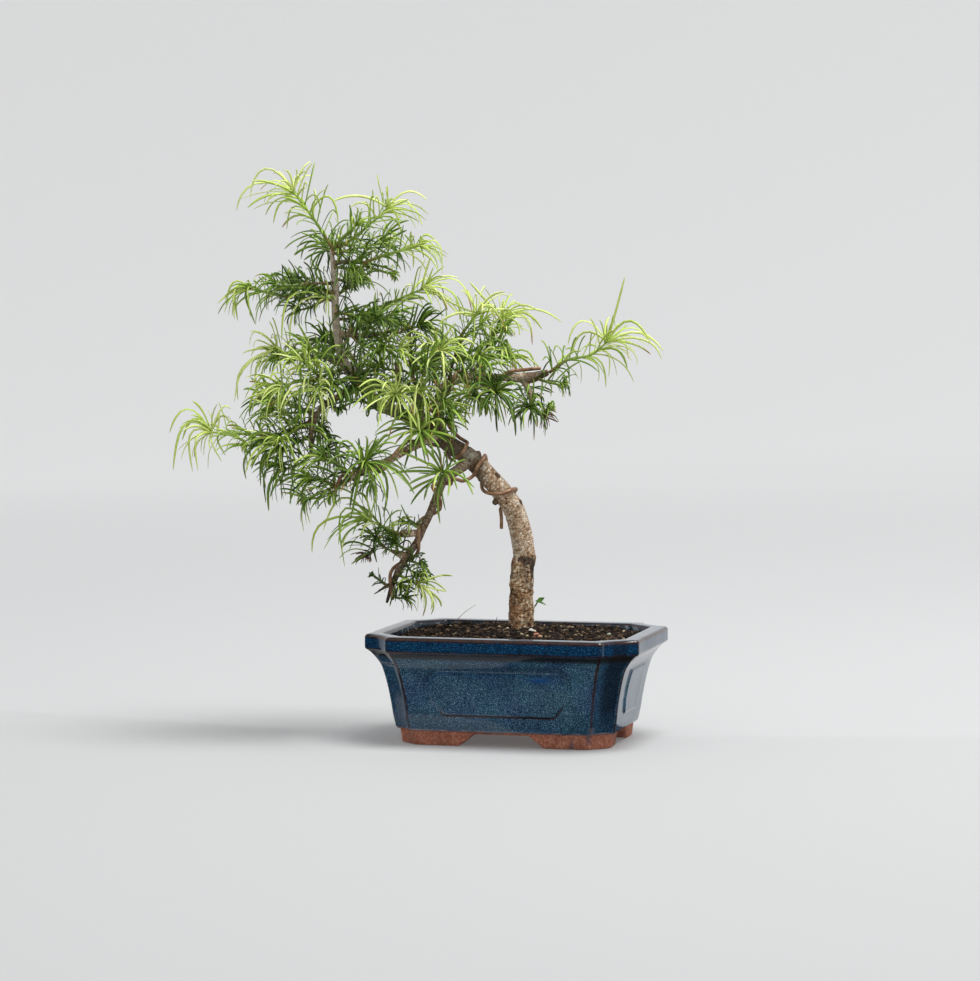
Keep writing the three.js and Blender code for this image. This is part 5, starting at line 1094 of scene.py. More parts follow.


# Sprays of needles: the shoot's points, the length of the needles at its base and tip, their shade
# and tone there from dark to bright, which is painted shade inside the crown and painted light on
# the outer shoots, what else differs from needleShape, and the long needles that show in the outline
# as [share along the shoot, tip across, depth, up, rise of the arc], without the share where they
# grow at the shoot's end

sprays = {
    "leader": [[[-106, 2, 213], [-115, -2, 228], [-127, -4, 244]], [19, 24], [0.3, 0.9], {},
        [-119, -6, 255, 3], [-116, 6, 253, 2], [-157, -8, 247, 9], [-165, -2, 239, 6], [-146, 8, 245, 7],
        [0.95, -152, -10, 235, 4], [0.9, -143, 6, 231, 4], [0.9, -119, -12, 246, 2],
        [0.7, -139, -4, 227, 7], [0.6, -131, 3, 223, 7], [0.6, -98, -6, 230, 11], [0.5, -134, 8, 224, 4],
        [0.75, -110, 2, 234, 8], [0.25, -132, -4, 212, 3], [0.1, -127, 0, 209, 1]],
    "shootA": [[[-103, 1, 213], [-98, -3, 215], [-85, -10, 225], [-74, -13, 235]],
        [17, 22], [0.35, 0.8], {},
        [-52, -16, 239, 6], [-57, -8, 238, 3], [-105, -20, 238, 5], [0.95, -53, -14, 224, 6],
        [0.8, -95, -14, 235, 4], [0.8, -66, -16, 222, 7], [0.9, -64, -4, 228, 4], [0.6, -62, -6, 220, 9],
        [0.7, -88, -18, 237, 5]],
    "shootB": [[[-86, -7, 205], [-75, -11, 209], [-56, -13, 214]], [17, 20], [0.2, 0.8], {},
        [-47, -14, 217, 0], [-44, -16, 198, 9], [-46, -6, 207, 6], [0.95, -49, -20, 212, 1],
        [0.8, -54, -16, 207, 4], [0.7, -59, -8, 202, 5], [0.9, -65, -10, 220, 2], [0.85, -61, -18, 222, 1]],
    "topCluster": [[[-102, 0, 210], [-91, 11, 213], [-78, 18, 216]], [16, 18], [0.15, 0.45], {},
        [-70, 20, 221, -2], [0.9, -67, 16, 201, 4]],
    "upperLeftShoot": [[[-128, 6, 185], [-134, 6, 186], [-152, 3, 190]], [17, 19], [0.15, 0.6], {},
        [-166, 2, 182, 9], [-160, -4, 173, 9], [-159, 8, 172, 8], [0.95, -151, -6, 174, 7],
        [0.9, -149, 6, 170, 7], [0.8, -145, -4, 176, 6], [0.9, -142, 6, 195, 2]],
    "upperLeftTop": [[[-119, -9, 193], [-124, -12, 192], [-136, -15, 192]], [15, 17], [0.12, 0.4], {},
        [0.8, -129, -14, 202, 1], [-145, -16, 193, 4]],
    "rightCombTop": [[[-103, 0, 202], [-95, -6, 201]], [14, 16], [0.15, 0.4], {},
        [-81, -8, 195, 4], [-87, 2, 197, 3]],
    "shootC": [[[-93, 10, 174], [-86, 9, 175], [-80, 8, 179], [-55, 1, 190]], [16, 20], [0.25, 0.85], {},
        [-40, -4, 193, 2], [-27, -8, 177, 9], [-31, 4, 174, 8], [-41, -10, 178, 5], [-49, 0, 202, -2],
        [0.8, -61, -4, 194, -1], [0.6, -67, 2, 193, 0], [0.55, -70, -8, 194, -2], [0.9, -44, 6, 184, 4],
        [0.7, -54, -6, 184, 2]],
    "middleDark": [[[-67, -9, 167], [-57, -9, 169]], [17, 19], [0.08, 0.2], {"rosette": 8},
        [-48, -8, 180, 0], [-42, -12, 176, 2], [-37, -4, 171, 3], [0.5, -68, -12, 178, 1],
        [0.6, -57, -6, 184, -1]],
    "middleShoot": [[[-95, 0, 164], [-90, -8, 160], [-83, -14, 157], [-68, -20, 156]],
        [15, 18], [0.2, 0.7], {},
        [-64, -22, 157, 0]],
    "middleBack": [[[-96, 3, 166], [-84, 20, 171], [-76, 27, 172]], [16, 18], [0.12, 0.35]],
    "lightLeftShoot": [[[-122, 12, 152], [-133, 9, 154], [-137, 7, 156]], [18, 24], [0.4, 0.95], {},
        [-141, 6, 167, 0], [-164, 2, 130, 6], [-160, -6, 127, 6], [-148, 8, 127, 5], [-148, -8, 125, 4],
        [0.9, -133, 4, 128, 7], [0.7, -124, 4, 165, 1], [0.6, -115, 14, 164, 2]],
    "frontLeftShoot": [[[-116, -18, 140], [-127, -25, 138], [-133, -27, 135]], [20, 22], [0.35, 0.7], {},
        [-143, -28, 131, 5], [-151, -24, 122, 8], [-139, -32, 140, 6], [0.9, -144, -34, 126, 6],
        [0.5, -133, -30, 128, 3]],
    "frontLeftTop": [[[-113, -14, 142], [-116, -20, 146], [-120, -25, 149]], [18, 20], [0.4, 0.8], {},
        [-139, -26, 141, 8], [-132, -34, 145, 5], [-104, -30, 140, 6]],
    "knobCluster": [[[-100, 0, 146], [-102, -8, 141], [-105, -14, 137]], [17, 20], [0.15, 0.45], {},
        [-116, -16, 122, 2], [-99, -14, 124, 2], [-98, -8, 125, 1]],
    "brightDrop": [[[-111, -14, 140], [-113, -24, 134]], [22, 26], [0.6, 1.0], {"rosette": 3},
        [-116, -26, 112, 3], [-107, -22, 118, 3]],
    "farLeftShoot": [[[-140, -12, 109], [-147, -12, 109], [-173, -8, 110]], [11, 20], [0.2, 0.95], {},
        [-199, -10, 113, 11], [-191, -2, 112, 4], [-194, -12, 89, 16], [-184, -6, 88, 9],
        [-190, 2, 105, 8], [-180, -14, 89, 7], [-162, -10, 123, 7], [-161, -2, 120, 3],
        [-169, -14, 126, 2], [-173, -4, 121, 0], [0.95, -167, -12, 94, 3], [-173, -16, 101, 0],
        [0.85, -165, -8, 97, 2], [0.9, -169, -6, 122, 1]],
    "farLeftLower": [[[-139, -13, 109], [-142, -17, 106], [-152, -22, 103]], [18, 20], [0.3, 0.55], {},
        [-161, -22, 93, 5], [-155, -26, 90, 4], [-160, -18, 102, 2], [0.6, -151, -18, 95, 3]],
    "massFront": [[[-123, -14, 113], [-130, -27, 109], [-133, -31, 106]], [18, 20], [0.3, 0.6], {},
        [-150, -30, 107, 5], [-142, -34, 104, 3], [-126, -34, 99, 3]],
    "massCentre": [[[-118, -12, 108], [-132, -21, 101]], [17, 18], [0.12, 0.35], {},
        [-133, -22, 81, 0], [-142, -24, 79, 5], [-130, -16, 85, 0], [-144, -18, 91, 2], [-145, -14, 80, 7]],
    "massLow": [[[-118, -12, 98], [-121, -15, 94], [-131, -18, 90]], [18, 19], [0.12, 0.3], {},
        [-142, -18, 71, 8], [-140, -24, 67, 4]],
    "leftTip": [[[-112, -21, 77], [-119, -19, 73]], [13, 14], [0.1, 0.4], {},
        [-120, -18, 64, 1], [-131, -20, 68, 6], [-111, -16, 74, 0]],
    "leftShootLow": [[[-103, -24, 81], [-111, -28, 85], [-116, -29, 85]], [16, 18], [0.1, 0.3], {},
        [-139, -30, 75, 6], [-130, -28, 68, 6], [0.6, -120, -30, 66, 4]],
    "leftShootUp": [[[-94, -27, 88], [-104, -33, 95], [-109, -34, 97]], [15, 16], [0.1, 0.3], {},
        [-119, -36, 95, 2]],
    "spurRosette": [[[-89, -28, 92], [-86, -34, 95]],
        [21, 24], [0.15, 0.4], {"lean": [88, 75], "rosette": 8},
        [0.5, -86, -30, 107, 0], [0.6, -71, -32, 114, 5], [0.6, -94, -34, 64, 4], [0.6, -73, -36, 65, 8],
        [0.6, -68, -30, 74, 9], [0.5, -82, -40, 67, 2], [0.7, -61, -28, 84, 7], [0.4, -95, -28, 68, 2],
        [0.6, -106, -30, 105, 6], [0.5, -80, -30, 67, 4], [0.5, -72, -36, 102, 3], [0.3, -97, -36, 103, 4]],
    "branchStart": [[[-54, -13, 108], [-56, -24, 112]],
        [20, 22], [0.2, 0.45], {"lean": [85, 70], "rosette": 8},
        [0.5, -58, -26, 95, 1], [0.5, -65, -24, 90, 5], [0.6, -70, -28, 104, 4], [0.6, -75, -22, 108, 3],
        [0.6, -43, -24, 90, 4], [0.4, -37, -20, 93, 5], [0.6, -50, -28, 95, 1], [0.3, -67, -16, 113, 2]],
    "forkRosette": [[[-42, -16, 86], [-44, -23, 89]], [18, 21], [0.3, 0.5], {"lean": [85, 75]},
        [0.5, -57, -22, 88, 1], [0.5, -62, -24, 78, -1], [0.5, -55, -20, 73, 4], [0.5, -45, -24, 60, 2],
        [0.6, -42, -18, 67, 1], [0.5, -52, -26, 94, 2], [0.4, -37, -24, 101, 1]],
    "hangShoot": [[[-68, -19, 54], [-84, -26, 62]], [15, 22], [0.2, 0.6], {},
        [-125, -28, 51, 7], [-100, -30, 37, 16], [-110, -22, 56, 14], [-101, -34, 49, 9],
        [-106, -20, 61, 6], [0.9, -93, -38, 55, 5], [0.6, -66, -26, 67, 4], [0.5, -60, -14, 63, 3],
        [0.9, -89, -24, 51, 4]],
    "hangRosette": [[[-69, -14, 31], [-57, -22, 26]], [12, 17], [0.15, 0.95], {},
        [-48, -24, 10, 0], [-43, -20, 14, 0], [-43, -26, 31, 2], [-54, -22, 36, 0], [-62, -26, 37, 0],
        [0.7, -68, -26, 27, 1], [0.6, -65, -20, 19, 1], [0.8, -56, -16, 17, 0]],
    "rightShoot": [[[16, 5, 143], [26, 2, 150], [39, 0, 153], [48, -2, 160]], [18, 22], [0.4, 0.8], {},
        [58, -4, 197, -1], [84, -8, 156, 6], [80, 2, 155, 6], [75, -2, 163, 8], [72, -12, 160, 11],
        [60, -6, 151, 5], [73, 8, 153, 5], [22, -6, 163, 12], [25, 4, 156, 10], [60, 6, 170, 0],
        [0.75, 50, -4, 141, 6], [0.55, 49, 6, 135, 7], [0.05, 41, -2, 133, 7], [0.1, 29, 6, 137, 2],
        [0.3, 17, -4, 157, 5], [0.05, 11, 4, 161, 4], [0.05, 12, -6, 150, 4], [0.75, 61, 4, 146, 6],
        [0.5, 25, -6, 156, 2]],
    "rightUnder": [[[11, 3, 139], [23, -4, 136]], [14, 16], [0.2, 0.4], {},
        [30, -6, 124, 6], [27, -2, 130, 3], [0.9, 24, -10, 130, 3], [30, 4, 136, 2]],
    "spurRosetteA": [[[-14, -4, 132], [-14, -11, 133]],
        [18, 20], [0.08, 0.25], {"lean": [88, 75], "rosette": 8},
        [0.5, -13, -10, 110, -2], [0.5, -3, -12, 108, 2], [0.5, -22, -8, 116, 1], [0.6, -4, -6, 117, 2],
        [0.5, -24, -14, 126, 2], [0.6, -2, -14, 129, 3], [0.5, -23, -6, 131, 1], [0.6, -17, -12, 143, 0],
        [0.6, -5, -8, 141, 0], [0.5, -32, -10, 136, 0]],
    "spurRosetteB": [[[6, -5, 124], [5, -10, 124]],
        [13, 15], [0.03, 0.15], {"lean": [88, 75], "rosette": 7},
        [0.5, -4, -10, 116, 0], [0.5, 7, -12, 114, 0], [0.5, 11, -6, 115, 1], [0.5, -6, -8, 125, 0],
        [0.5, 2, -10, 136, 0], [0.5, 13, -12, 127, 5], [0.5, 4, -14, 116, 0]],
    "curlEnd": [[[12, -4, 120], [16, -9, 124]], [11, 12], [0.15, 0.4], {},
        [26, -10, 116, 5], [18, -6, 111, 5], [14, -10, 112, 2], [20, -14, 118, 2]],
    "rosetteTop": [[[-17, 15, 162], [-11, 12, 173]], [16, 21], [0.45, 0.95], {},
        [-29, 8, 194, 0], [-1, 14, 187, 2], [9, 6, 178, 4], [23, 18, 171, 7], [12, 10, 167, 8],
        [8, 16, 159, 8], [2, 2, 162, 3], [4, 20, 177, 6], [-17, 4, 156, 4], [0.6, -8, 8, 163, 1]],
    "shootD": [[[-34, 0, 162], [-32, -2, 166], [-24, -4, 177]], [17, 22], [0.35, 0.9], {},
        [-51, -8, 192, -6], [-45, -2, 188, -7], [-37, 2, 184, -5], [-12, -10, 174, 5],
        [0.8, -9, -4, 167, 6], [0.6, -35, -6, 174, 0], [-15, -10, 180, 3], [0.8, -28, -12, 156, 2],
        [0.9, -46, -8, 170, 4]],
    "rosetteMid": [[[-46, -9, 154], [-45, -16, 156]],
        [19, 22], [0.45, 0.9], {"lean": [85, 70], "rosette": 8},
        [0.6, -57, -18, 145, 7], [0.6, -28, -20, 129, 12], [0.6, -21, -14, 135, 10],
        [0.6, -66, -22, 151, 3], [0.5, -29, -16, 159, 0], [0.6, -41, -24, 143, 3], [0.6, -66, -12, 156, 2],
        [0.6, -28, -10, 162, 1], [0.5, -56, -18, 162, 1], [0.6, -51, -12, 167, 2]],
    "frontBright": [[[-47, -5, 146], [-50, -12, 142], [-56, -23, 134]], [16, 20], [0.4, 0.85], {},
        [-59, -26, 128, 1], [-45, -26, 129, 4], [-43, -20, 133, 4], [-63, -24, 137, 2]],
    "rosetteLow": [[[-69, -18, 131], [-70, -25, 132]],
        [18, 22], [0.5, 0.9], {"lean": [85, 70], "rosette": 8},
        [0.6, -76, -28, 121, 4], [0.6, -72, -24, 119, 1], [0.6, -90, -30, 132, 5], [0.6, -83, -26, 126, 4],
        [0.6, -56, -30, 107, 7], [0.6, -51, -26, 109, 9], [0.6, -79, -28, 143, 3], [0.5, -59, -28, 135, 2],
        [0.6, -63, -20, 142, 1]],
    "trunkTuft": [[[-46, -4, 114], [-45, -10, 119], [-44, -14, 124]], [17, 22], [0.35, 0.7], {},
        [-30, -16, 112, 5], [-38, -20, 110, 2], [-44, -18, 111, -1], [-28, -10, 117, 4],
        [-31, -14, 122, 4], [-51, -22, 106, 0]],
    "rightMass": [[[-33, 9, 140], [-28, -4, 133], [-26, -8, 130]], [16, 18], [0.2, 0.5], {},
        [-29, -10, 121, 1], [-21, -6, 115, 2], [-36, -12, 125, 2], [-33, -6, 118, 4]],
    "rightTop": [[[-24, 15, 149], [-19, 17, 151], [-8, 19, 152]], [17, 19], [0.25, 0.55], {},
        [10, 18, 146, 5], [0, 24, 149, 5], [-5, 14, 144, 3], [0.6, -3, 22, 159, 2], [5, 12, 151, 2]],
    "rightFront": [[[-37, 5, 149], [-33, -2, 151], [-23, -12, 153]], [17, 18], [0.2, 0.55], {},
        [-13, -14, 159, 1], [-12, -16, 151, 2], [-21, -10, 142, 2]],
    "centreLeft": [[[-70, -8, 144], [-79, -15, 147]], [15, 16], [0.12, 0.3], {},
        [-90, -16, 153, 1], [-78, -14, 159, 0], [-71, -18, 156, 2]],
    "leaderKnobRight": [[[-92, 1, 142], [-80, -12, 137]], [15, 17], [0.15, 0.5], {},
        [-93, -12, 127, 3], [-86, -16, 122, 2], [-91, -18, 135, 3]],
    "backShootA": [[[-95, 32, 150], [-98, 37, 154], [-106, 44, 159]], [16, 18], [0.2, 0.5]],
    "backShootB": [[[-54, 31, 144], [-51, 36, 148], [-45, 43, 156]], [17, 19], [0.2, 0.55]],
    "backShootC": [[[-133, 21, 126], [-142, 30, 128]], [15, 17], [0.2, 0.5]],
    "backShootD": [[[-97, 22, 191], [-89, 32, 195]], [14, 16], [0.2, 0.45]],
    "backShootE": [[[-34, 30, 140], [-23, 39, 143]], [16, 18], [0.2, 0.5]],
}

# short sprays that fill the crown between them
fillingSprays = {
    "shootBlow": [[[-88, -6, 203], [-72, 1, 198]], [15, 17], [0.15, 0.4], {},
        [-67, 4, 198, 2], [-69, -4, 194, 2]],
    "topBack": [[[-106, 4, 210], [-110, 20, 213]], [16, 18], [0.15, 0.4]],
    "upperLeftBase": [[[-107, 0, 188], [-126, 15, 192]], [15, 16], [0.1, 0.3], {},
        [0.6, -127, 8, 203, 1], [0.3, -115, 2, 205, 1]],
    "palePair": [[[-107, -1, 185], [-109, -4, 185]], [10, 12], [0.7, 0.95], {"rosette": 2},
        [-133, -16, 161, 11], [-130, -8, 159, 9]],
    "rightComb": [[[-102, 3, 195], [-95, 12, 193]], [14, 15], [0.15, 0.3], {},
        [-86, 10, 192, 3], [-78, 14, 184, 6], [0.8, -95, 6, 186, 1]],
    "middleFill": [[[-86, -6, 165], [-84, -10, 170], [-80, -12, 174]], [15, 16], [0.12, 0.3], {},
        [-90, -12, 185, 1]],
    "middleFillB": [[[-76, -9, 164], [-75, -15, 161], [-76, -20, 157]], [14, 15], [0.1, 0.3]],
    "riserDark": [[[-109, -9, 127], [-101, -17, 123]], [14, 15], [0.05, 0.15], {},
        [-97, -18, 125, 1], [-99, -14, 121, 1], [-103, -20, 117, 1]],
    "massUpper": [[[-121, -13, 114], [-133, -18, 122], [-138, -19, 123]], [16, 18], [0.25, 0.5], {},
        [-145, -20, 117, 4], [-144, -12, 121, 3]],
    "massRight": [[[-116, -8, 103], [-109, 1, 99]], [14, 15], [0.1, 0.25], {},
        [-108, 0, 114, -1], [-100, 4, 104, 1]],
    "riserFan": [[[-116, -8, 111], [-112, 2, 111]], [13, 14], [0.1, 0.25], {},
        [-109, 2, 103, 3], [0.8, -114, 4, 102, 1]],
    "leftShootDown": [[[-100, -26, 82], [-105, -31, 76]], [12, 14], [0.25, 0.5], {},
        [-106, -32, 71, 0], [-101, -28, 76, 0]],
    "hangDark": [[[-77, -17, 47], [-81, -23, 53]], [11, 12], [0.05, 0.2], {},
        [-88, -22, 50, 1], [-80, -20, 38, 1]],
    "hangInner": [[[-69, -15, 44], [-70, -18, 52]], [10, 11], [0.15, 0.35], {},
        [-72, -18, 44, 1]],
    "hangFan": [[[-63, -14, 39], [-56, -18, 37]], [13, 15], [0.03, 0.15], {},
        [-46, -20, 33, 2], [-44, -14, 29, 1], [0.8, -47, -24, 33, 1], [0.5, -52, -12, 43, 2]],
    "hangTop": [[[-57, -14, 59], [-63, -20, 60]], [9, 10], [0.1, 0.3], {"rosette": 3}],
    "rightTopB": [[[-20, 15, 155], [-15, 9, 157], [-10, 5, 157]], [17, 18], [0.25, 0.6], {},
        [-6, 2, 143, 8], [0, 6, 149, 6], [-1, 4, 160, 1]],
    "centreDark": [[[-61, -15, 144], [-52, -24, 148]], [16, 17], [0.1, 0.25], {},
        [-60, -26, 155, 1]],
    "limbUnder": [[[-77, -1, 121], [-84, -10, 125]], [10, 12], [0.1, 0.3], {"rosette": 3},
        [-93, -10, 120, -5]],
    "trunkTuftLeft": [[[-101, 0, 150], [-110, -12, 154], [-118, -17, 156]], [14, 16], [0.2, 0.45]],
    "trunkTuftUpper": [[[-104, 2, 176], [-98, -6, 176], [-91, -12, 174]], [12, 14], [0.1, 0.25]],
    "trunkCover": [[[-93, 4, 142], [-95, -6, 139], [-93, -12, 136]], [13, 14], [0.1, 0.25]],
    "upperLeftUnder": [[[-110, 3, 184], [-117, 0, 180], [-124, -2, 178]], [11, 12], [0.05, 0.2]],
    "upperLeftBack": [[[-112, 2, 186], [-119, 12, 189], [-127, 16, 191]], [12, 13], [0.1, 0.3]],
    "midBack": [[[-99, 4, 148], [-104, 14, 156], [-111, 18, 161]], [14, 15], [0.1, 0.25]],
    "lightLeftEnd": [[[-120, 11, 152], [-129, 8, 150], [-136, 4, 151]], [12, 14], [0.2, 0.45]],
    "leftUnder": [[[-76, -24, 94], [-80, -26, 88], [-83, -27, 83]], [12, 14], [0.1, 0.3]],
    "centreLow": [[[-54, -1, 114], [-48, -11, 117], [-41, -17, 117]], [13, 14], [0.05, 0.25]],
    "centreHigh": [[[-56, -8, 124], [-50, -16, 129], [-43, -20, 128]], [13, 15], [0.1, 0.35]],
    "rightTopInner": [[[-17, 15, 161], [-13, 10, 166], [-9, 8, 168]], [13, 14], [0.3, 0.6]],
    "hangMiddle": [[[-65, -12, 38], [-62, -18, 34], [-59, -20, 31]], [8, 10], [0.0, 0.12]],
    "hangUpper": [[[-61, -12, 44], [-66, -18, 46], [-70, -20, 49]], [9, 11], [0.05, 0.2]],
    "hangEnd": [[[-73, -13, 20], [-69, -16, 18], [-65, -17, 18]], [7, 9], [0.0, 0.2]],
    "topBetween": [[[-106, 2, 211], [-99, -4, 219], [-91, -6, 226]], [10, 12], [0.3, 0.6]],
    "rightTopMiddle": [[[-34, 0, 160], [-28, -4, 166], [-22, -6, 170]], [12, 14], [0.35, 0.6]],
    "hangTipDark": [[[-74, -14, 24], [-79, -16, 28], [-83, -17, 31]], [7, 9], [0.0, 0.1]],
    "hangTipInner": [[[-72, -14, 28], [-68, -18, 25]], [8, 10], [0.0, 0.12]],
    "hangWithered": [[[-83, -16, 44], [-86, -17, 41]], [5, 8], [0.1, 0.1], {"withered": True}],
    "spurWithered": [[[8, -3, 121], [12, -4, 119]], [6, 9], [0.1, 0.1], {"withered": True}],
}

needleShape = {
    "pitch": [0.88, 1.46],  # mm of stem for each needle, on dark sprays and on bright shoots
    "twigPitch": 0.96,
    "turn": 137.5,  # degrees round the stem from one needle to the next
    "lean": [70, 52],  # to the stem, at its base and its tip
    "rosette": 6,
    "rosetteFill": [2.8, 1.9],  # needles at a tip for each one that the rule counts
    "width": 1.28,
    "thickness": 0.4,
    "groove": 0.12,
    "stations": [0, 0.08, 0.22, 0.38, 0.54, 0.68, 0.8, 0.9, 0.97, 1],
    "halfWidths": [0.6, 0.86, 1, 1, 1, 0.98, 0.9, 0.72, 0.42, 0.1],
    "stem": [1.0, 0.55],
    "edge": [1, 0, 1, 0.4],  # where round a needle its midrib doesn't show
    "depthLimit": 65.5,  # how far to the front or the back a needle may reach
}

# places where the backdrop shows through the crown: across, up, half width, half height
openPlaces = [
    [-94, 115, 14, 10.5], [-74, 196, 14, 6], [-25, 110, 6, 11], [-144, 204, 13, 6.5],
    [-158, 198, 9, 6], [-3, 159, 7, 6], [21, 127, 9, 6], [-129, 67, 9, 6], [-89, 186, 8, 5],
    [-86, 31, 6, 9], [-66, 243, 6, 4], [-106, 65, 13, 7], [-50, 40, 5, 7], [31, 136, 6, 5],
    [-157, 98, 5, 5], [-53, 221, 6, 5],
]

# thin limbs that carry needles on their own wood: [from, to, shade and tone], from and to as shares of
# their length, and the shade and tone a dark painted shade
leafyTwigs = {
    "hangKnob": (0.35, 1, 0.05), "left": (0.5, 1, 0.12), "rightTwigA": (0.25, 1, 0.3),
    "rightTwigB": (0.25, 1, 0.3), "spurA": (0.1, 1, 0.05), "spurB": (0.1, 1, 0.05),
    "upperLeft": (0.08, 1, 0.12), "upperLeftB": (0.08, 1, 0.12), "topRight": (0.08, 1, 0.12),
    "middle": (0.12, 1, 0.15), "middleB": (0.08, 1, 0.2), "leftRiser": (0.15, 0.85, 0.1),
    "farLeft": (0.25, 1, 0.2), "lightLeft": (0.2, 1, 0.3), "frontLeft": (0.2, 1, 0.2),
    "backA": (0.3, 1, 0.15), "backB": (0.3, 1, 0.15), "backC": (0.2, 1, 0.15),
    "backD": (0.25, 1, 0.15), "backE": (0.25, 1, 0.15), "centreTwig": (0.25, 1, 0.15),
    "redTwig": (0.3, 1, 0.2), "frontC": (0.3, 1, 0.15),
}


def sprayRule(stem, length, tone, extras=None, *traced):
    return {"stem": stem, "length": length, "tone": tone, "traced": traced, **(extras or {})}


def needleLines(roots, reach, droop, rise, sway):
    # middle lines: root + reach * t, sunk by droop * t^2.2, arched by 4 * rise * t * (1 - t)
    # and swayed to one side by sin(pi * t)
    t = np.array(needleShape["stations"])[None, :, None]
    lines = roots[:, None] + reach[:, None] * t + sway[:, None] * np.sin(np.pi * t)
    t = t[..., 0]
    lines[..., 2] += 4 * rise[:, None] * t * (1 - t) - droop[:, None] * t ** 2.2
    return lines


def needleRings(lines, facing, widths):
    # a flat blade with a groove above and a keel below: four points round each station
    directions = unit(np.gradient(lines, axis=1))
    across = unit(np.cross(directions, np.broadcast_to(facing[:, None], directions.shape)))
    above = np.cross(across, directions)
    half = (widths[:, None] * np.array(needleShape["halfWidths"]) / 2)[..., None]
    thick = half / needleShape["width"] * 2 * needleShape["thickness"]
    groove = half * needleShape["groove"]
    left, right = -across * half + above * groove, across * half + above * groove
    return np.stack([left + lines, lines, right + lines, lines - above * thick], axis=2)


def needleFaces(count):
    stations = len(needleShape["stations"])
    own = np.vstack([
        gridFaces(stations, 4), [[3, 2, 1, 0]], np.arange(4)[None] + 4 * (stations - 1)
    ])
    return repeated(own, count, 4 * stations)


def leaning(directions, lean, turn):
    # directions leant away from the stem's and turned round it, and the side that the turn counts
    # from: cos(lean) * way + sin(lean) * (cos(turn) * front + sin(turn) * side)
    steep = abs(directions[-1][2]) > 0.75
    front, side = sideways(directions, (0.25, 1, 0) if steep else (0, 0, 1))
    outward = front * np.cos(turn)[:, None] + side * np.sin(turn)[:, None]
    return directions * np.cos(lean)[:, None] + np.sin(lean)[:, None] * outward, front


def stemNeedles(rule, stem, start, length, pitch, number):
    # needles along a stem from a share of it on, each turned on from the last
    count = max(6, round((1 - start) * length / pitch))
    order = np.arange(count)
    share = (order + 0.6) / count
    points, directions, _ = alongRoute(stem, start + (1 - start) * share)
    seed = number * 1000 + order * 3
    lean = spread(*rule.get("lean", needleShape["lean"]), share) + 22 * (wave(seed, 2) - 0.5)
    turn = np.radians(needleShape["turn"] * order + 30 * (wave(seed, 1) - 0.5))
    heading, _ = leaning(directions, np.radians(lean), turn)
    # none grows straight down: they all turn a little to the light
    heading = unit(heading + [0, 0, 0.22])
    size = spread(*rule["length"], share) * (0.84 + 0.7 * wave(seed, 3))
    size = size * spread(0.74, 1.0, smoothStep(-0.6, 0.0, heading[:, 2]))
    size = size * spread(1.0, 0.86, smoothStep(0.55, 0.95, heading[:, 2]))
    return {
        "root": points, "reach": heading * size[:, None],
        "droop": size * (0.04 + 0.32 * wave(seed, 4) ** 1.7),
        "rise": size * (0.01 + 0.11 * wave(seed, 11)),
        "facing": directions, "way": directions, "share": share, "seed": seed.astype(float),
    }


def tuftNeedles(rule, stem, bright, number):
    # the tuft at the tip of a stem
    fill = spread(*needleShape["rosetteFill"], bright)
    count = round(rule.get("rosette", needleShape["rosette"]) * fill)
    order = np.arange(count)
    seed = number * 1000 + 900 + order * 1.0
    end, direction, _ = alongRoute(stem, np.full(count, 1.0))
    lean = np.radians(16 + 50 * np.sqrt((order + wave(seed, 2)) / count))
    heading, front = leaning(direction, lean, np.radians(needleShape["turn"]) * order + number)
    size = rule["length"][1] * (0.8 + 0.5 * wave(seed, 3))
    size = size * spread(0.74, 1.0, smoothStep(-0.8, -0.1, heading[:, 2]))
    size = size * spread(1.0, 0.86, smoothStep(0.6, 0.95, heading[:, 2]))
    return {
        "root": end - direction * (1.5 * wave(seed, 5))[:, None], "reach": heading * size[:, None],
        "droop": size * (0.06 + 0.36 * wave(seed, 4) ** 1.5),
        "rise": size * (0.02 + 0.1 * wave(seed, 11)),
        "facing": direction + 0.4 * front, "way": direction, "share": order * 0 + 1.0, "seed": seed,
    }


def tracedNeedles(rows, stem, number):
    # the long needles that show in the outline, each to its own tip; a row of four starts at the end
    rows = np.array([row if len(row) > 4 else [1, *row] for row in rows], float)
    points, directions, _ = alongRoute(stem, rows[:, 0])
    seed = number * 1000 + 500 + np.arange(len(rows)) * 1.0
    return {
        "root": points, "reach": rows[:, 1:4] - points, "droop": 0 * seed, "rise": rows[:, 4],
        "facing": 0 * directions + [0.2, -1, 0.3], "way": directions, "share": rows[:, 0],
        "seed": seed,
    }


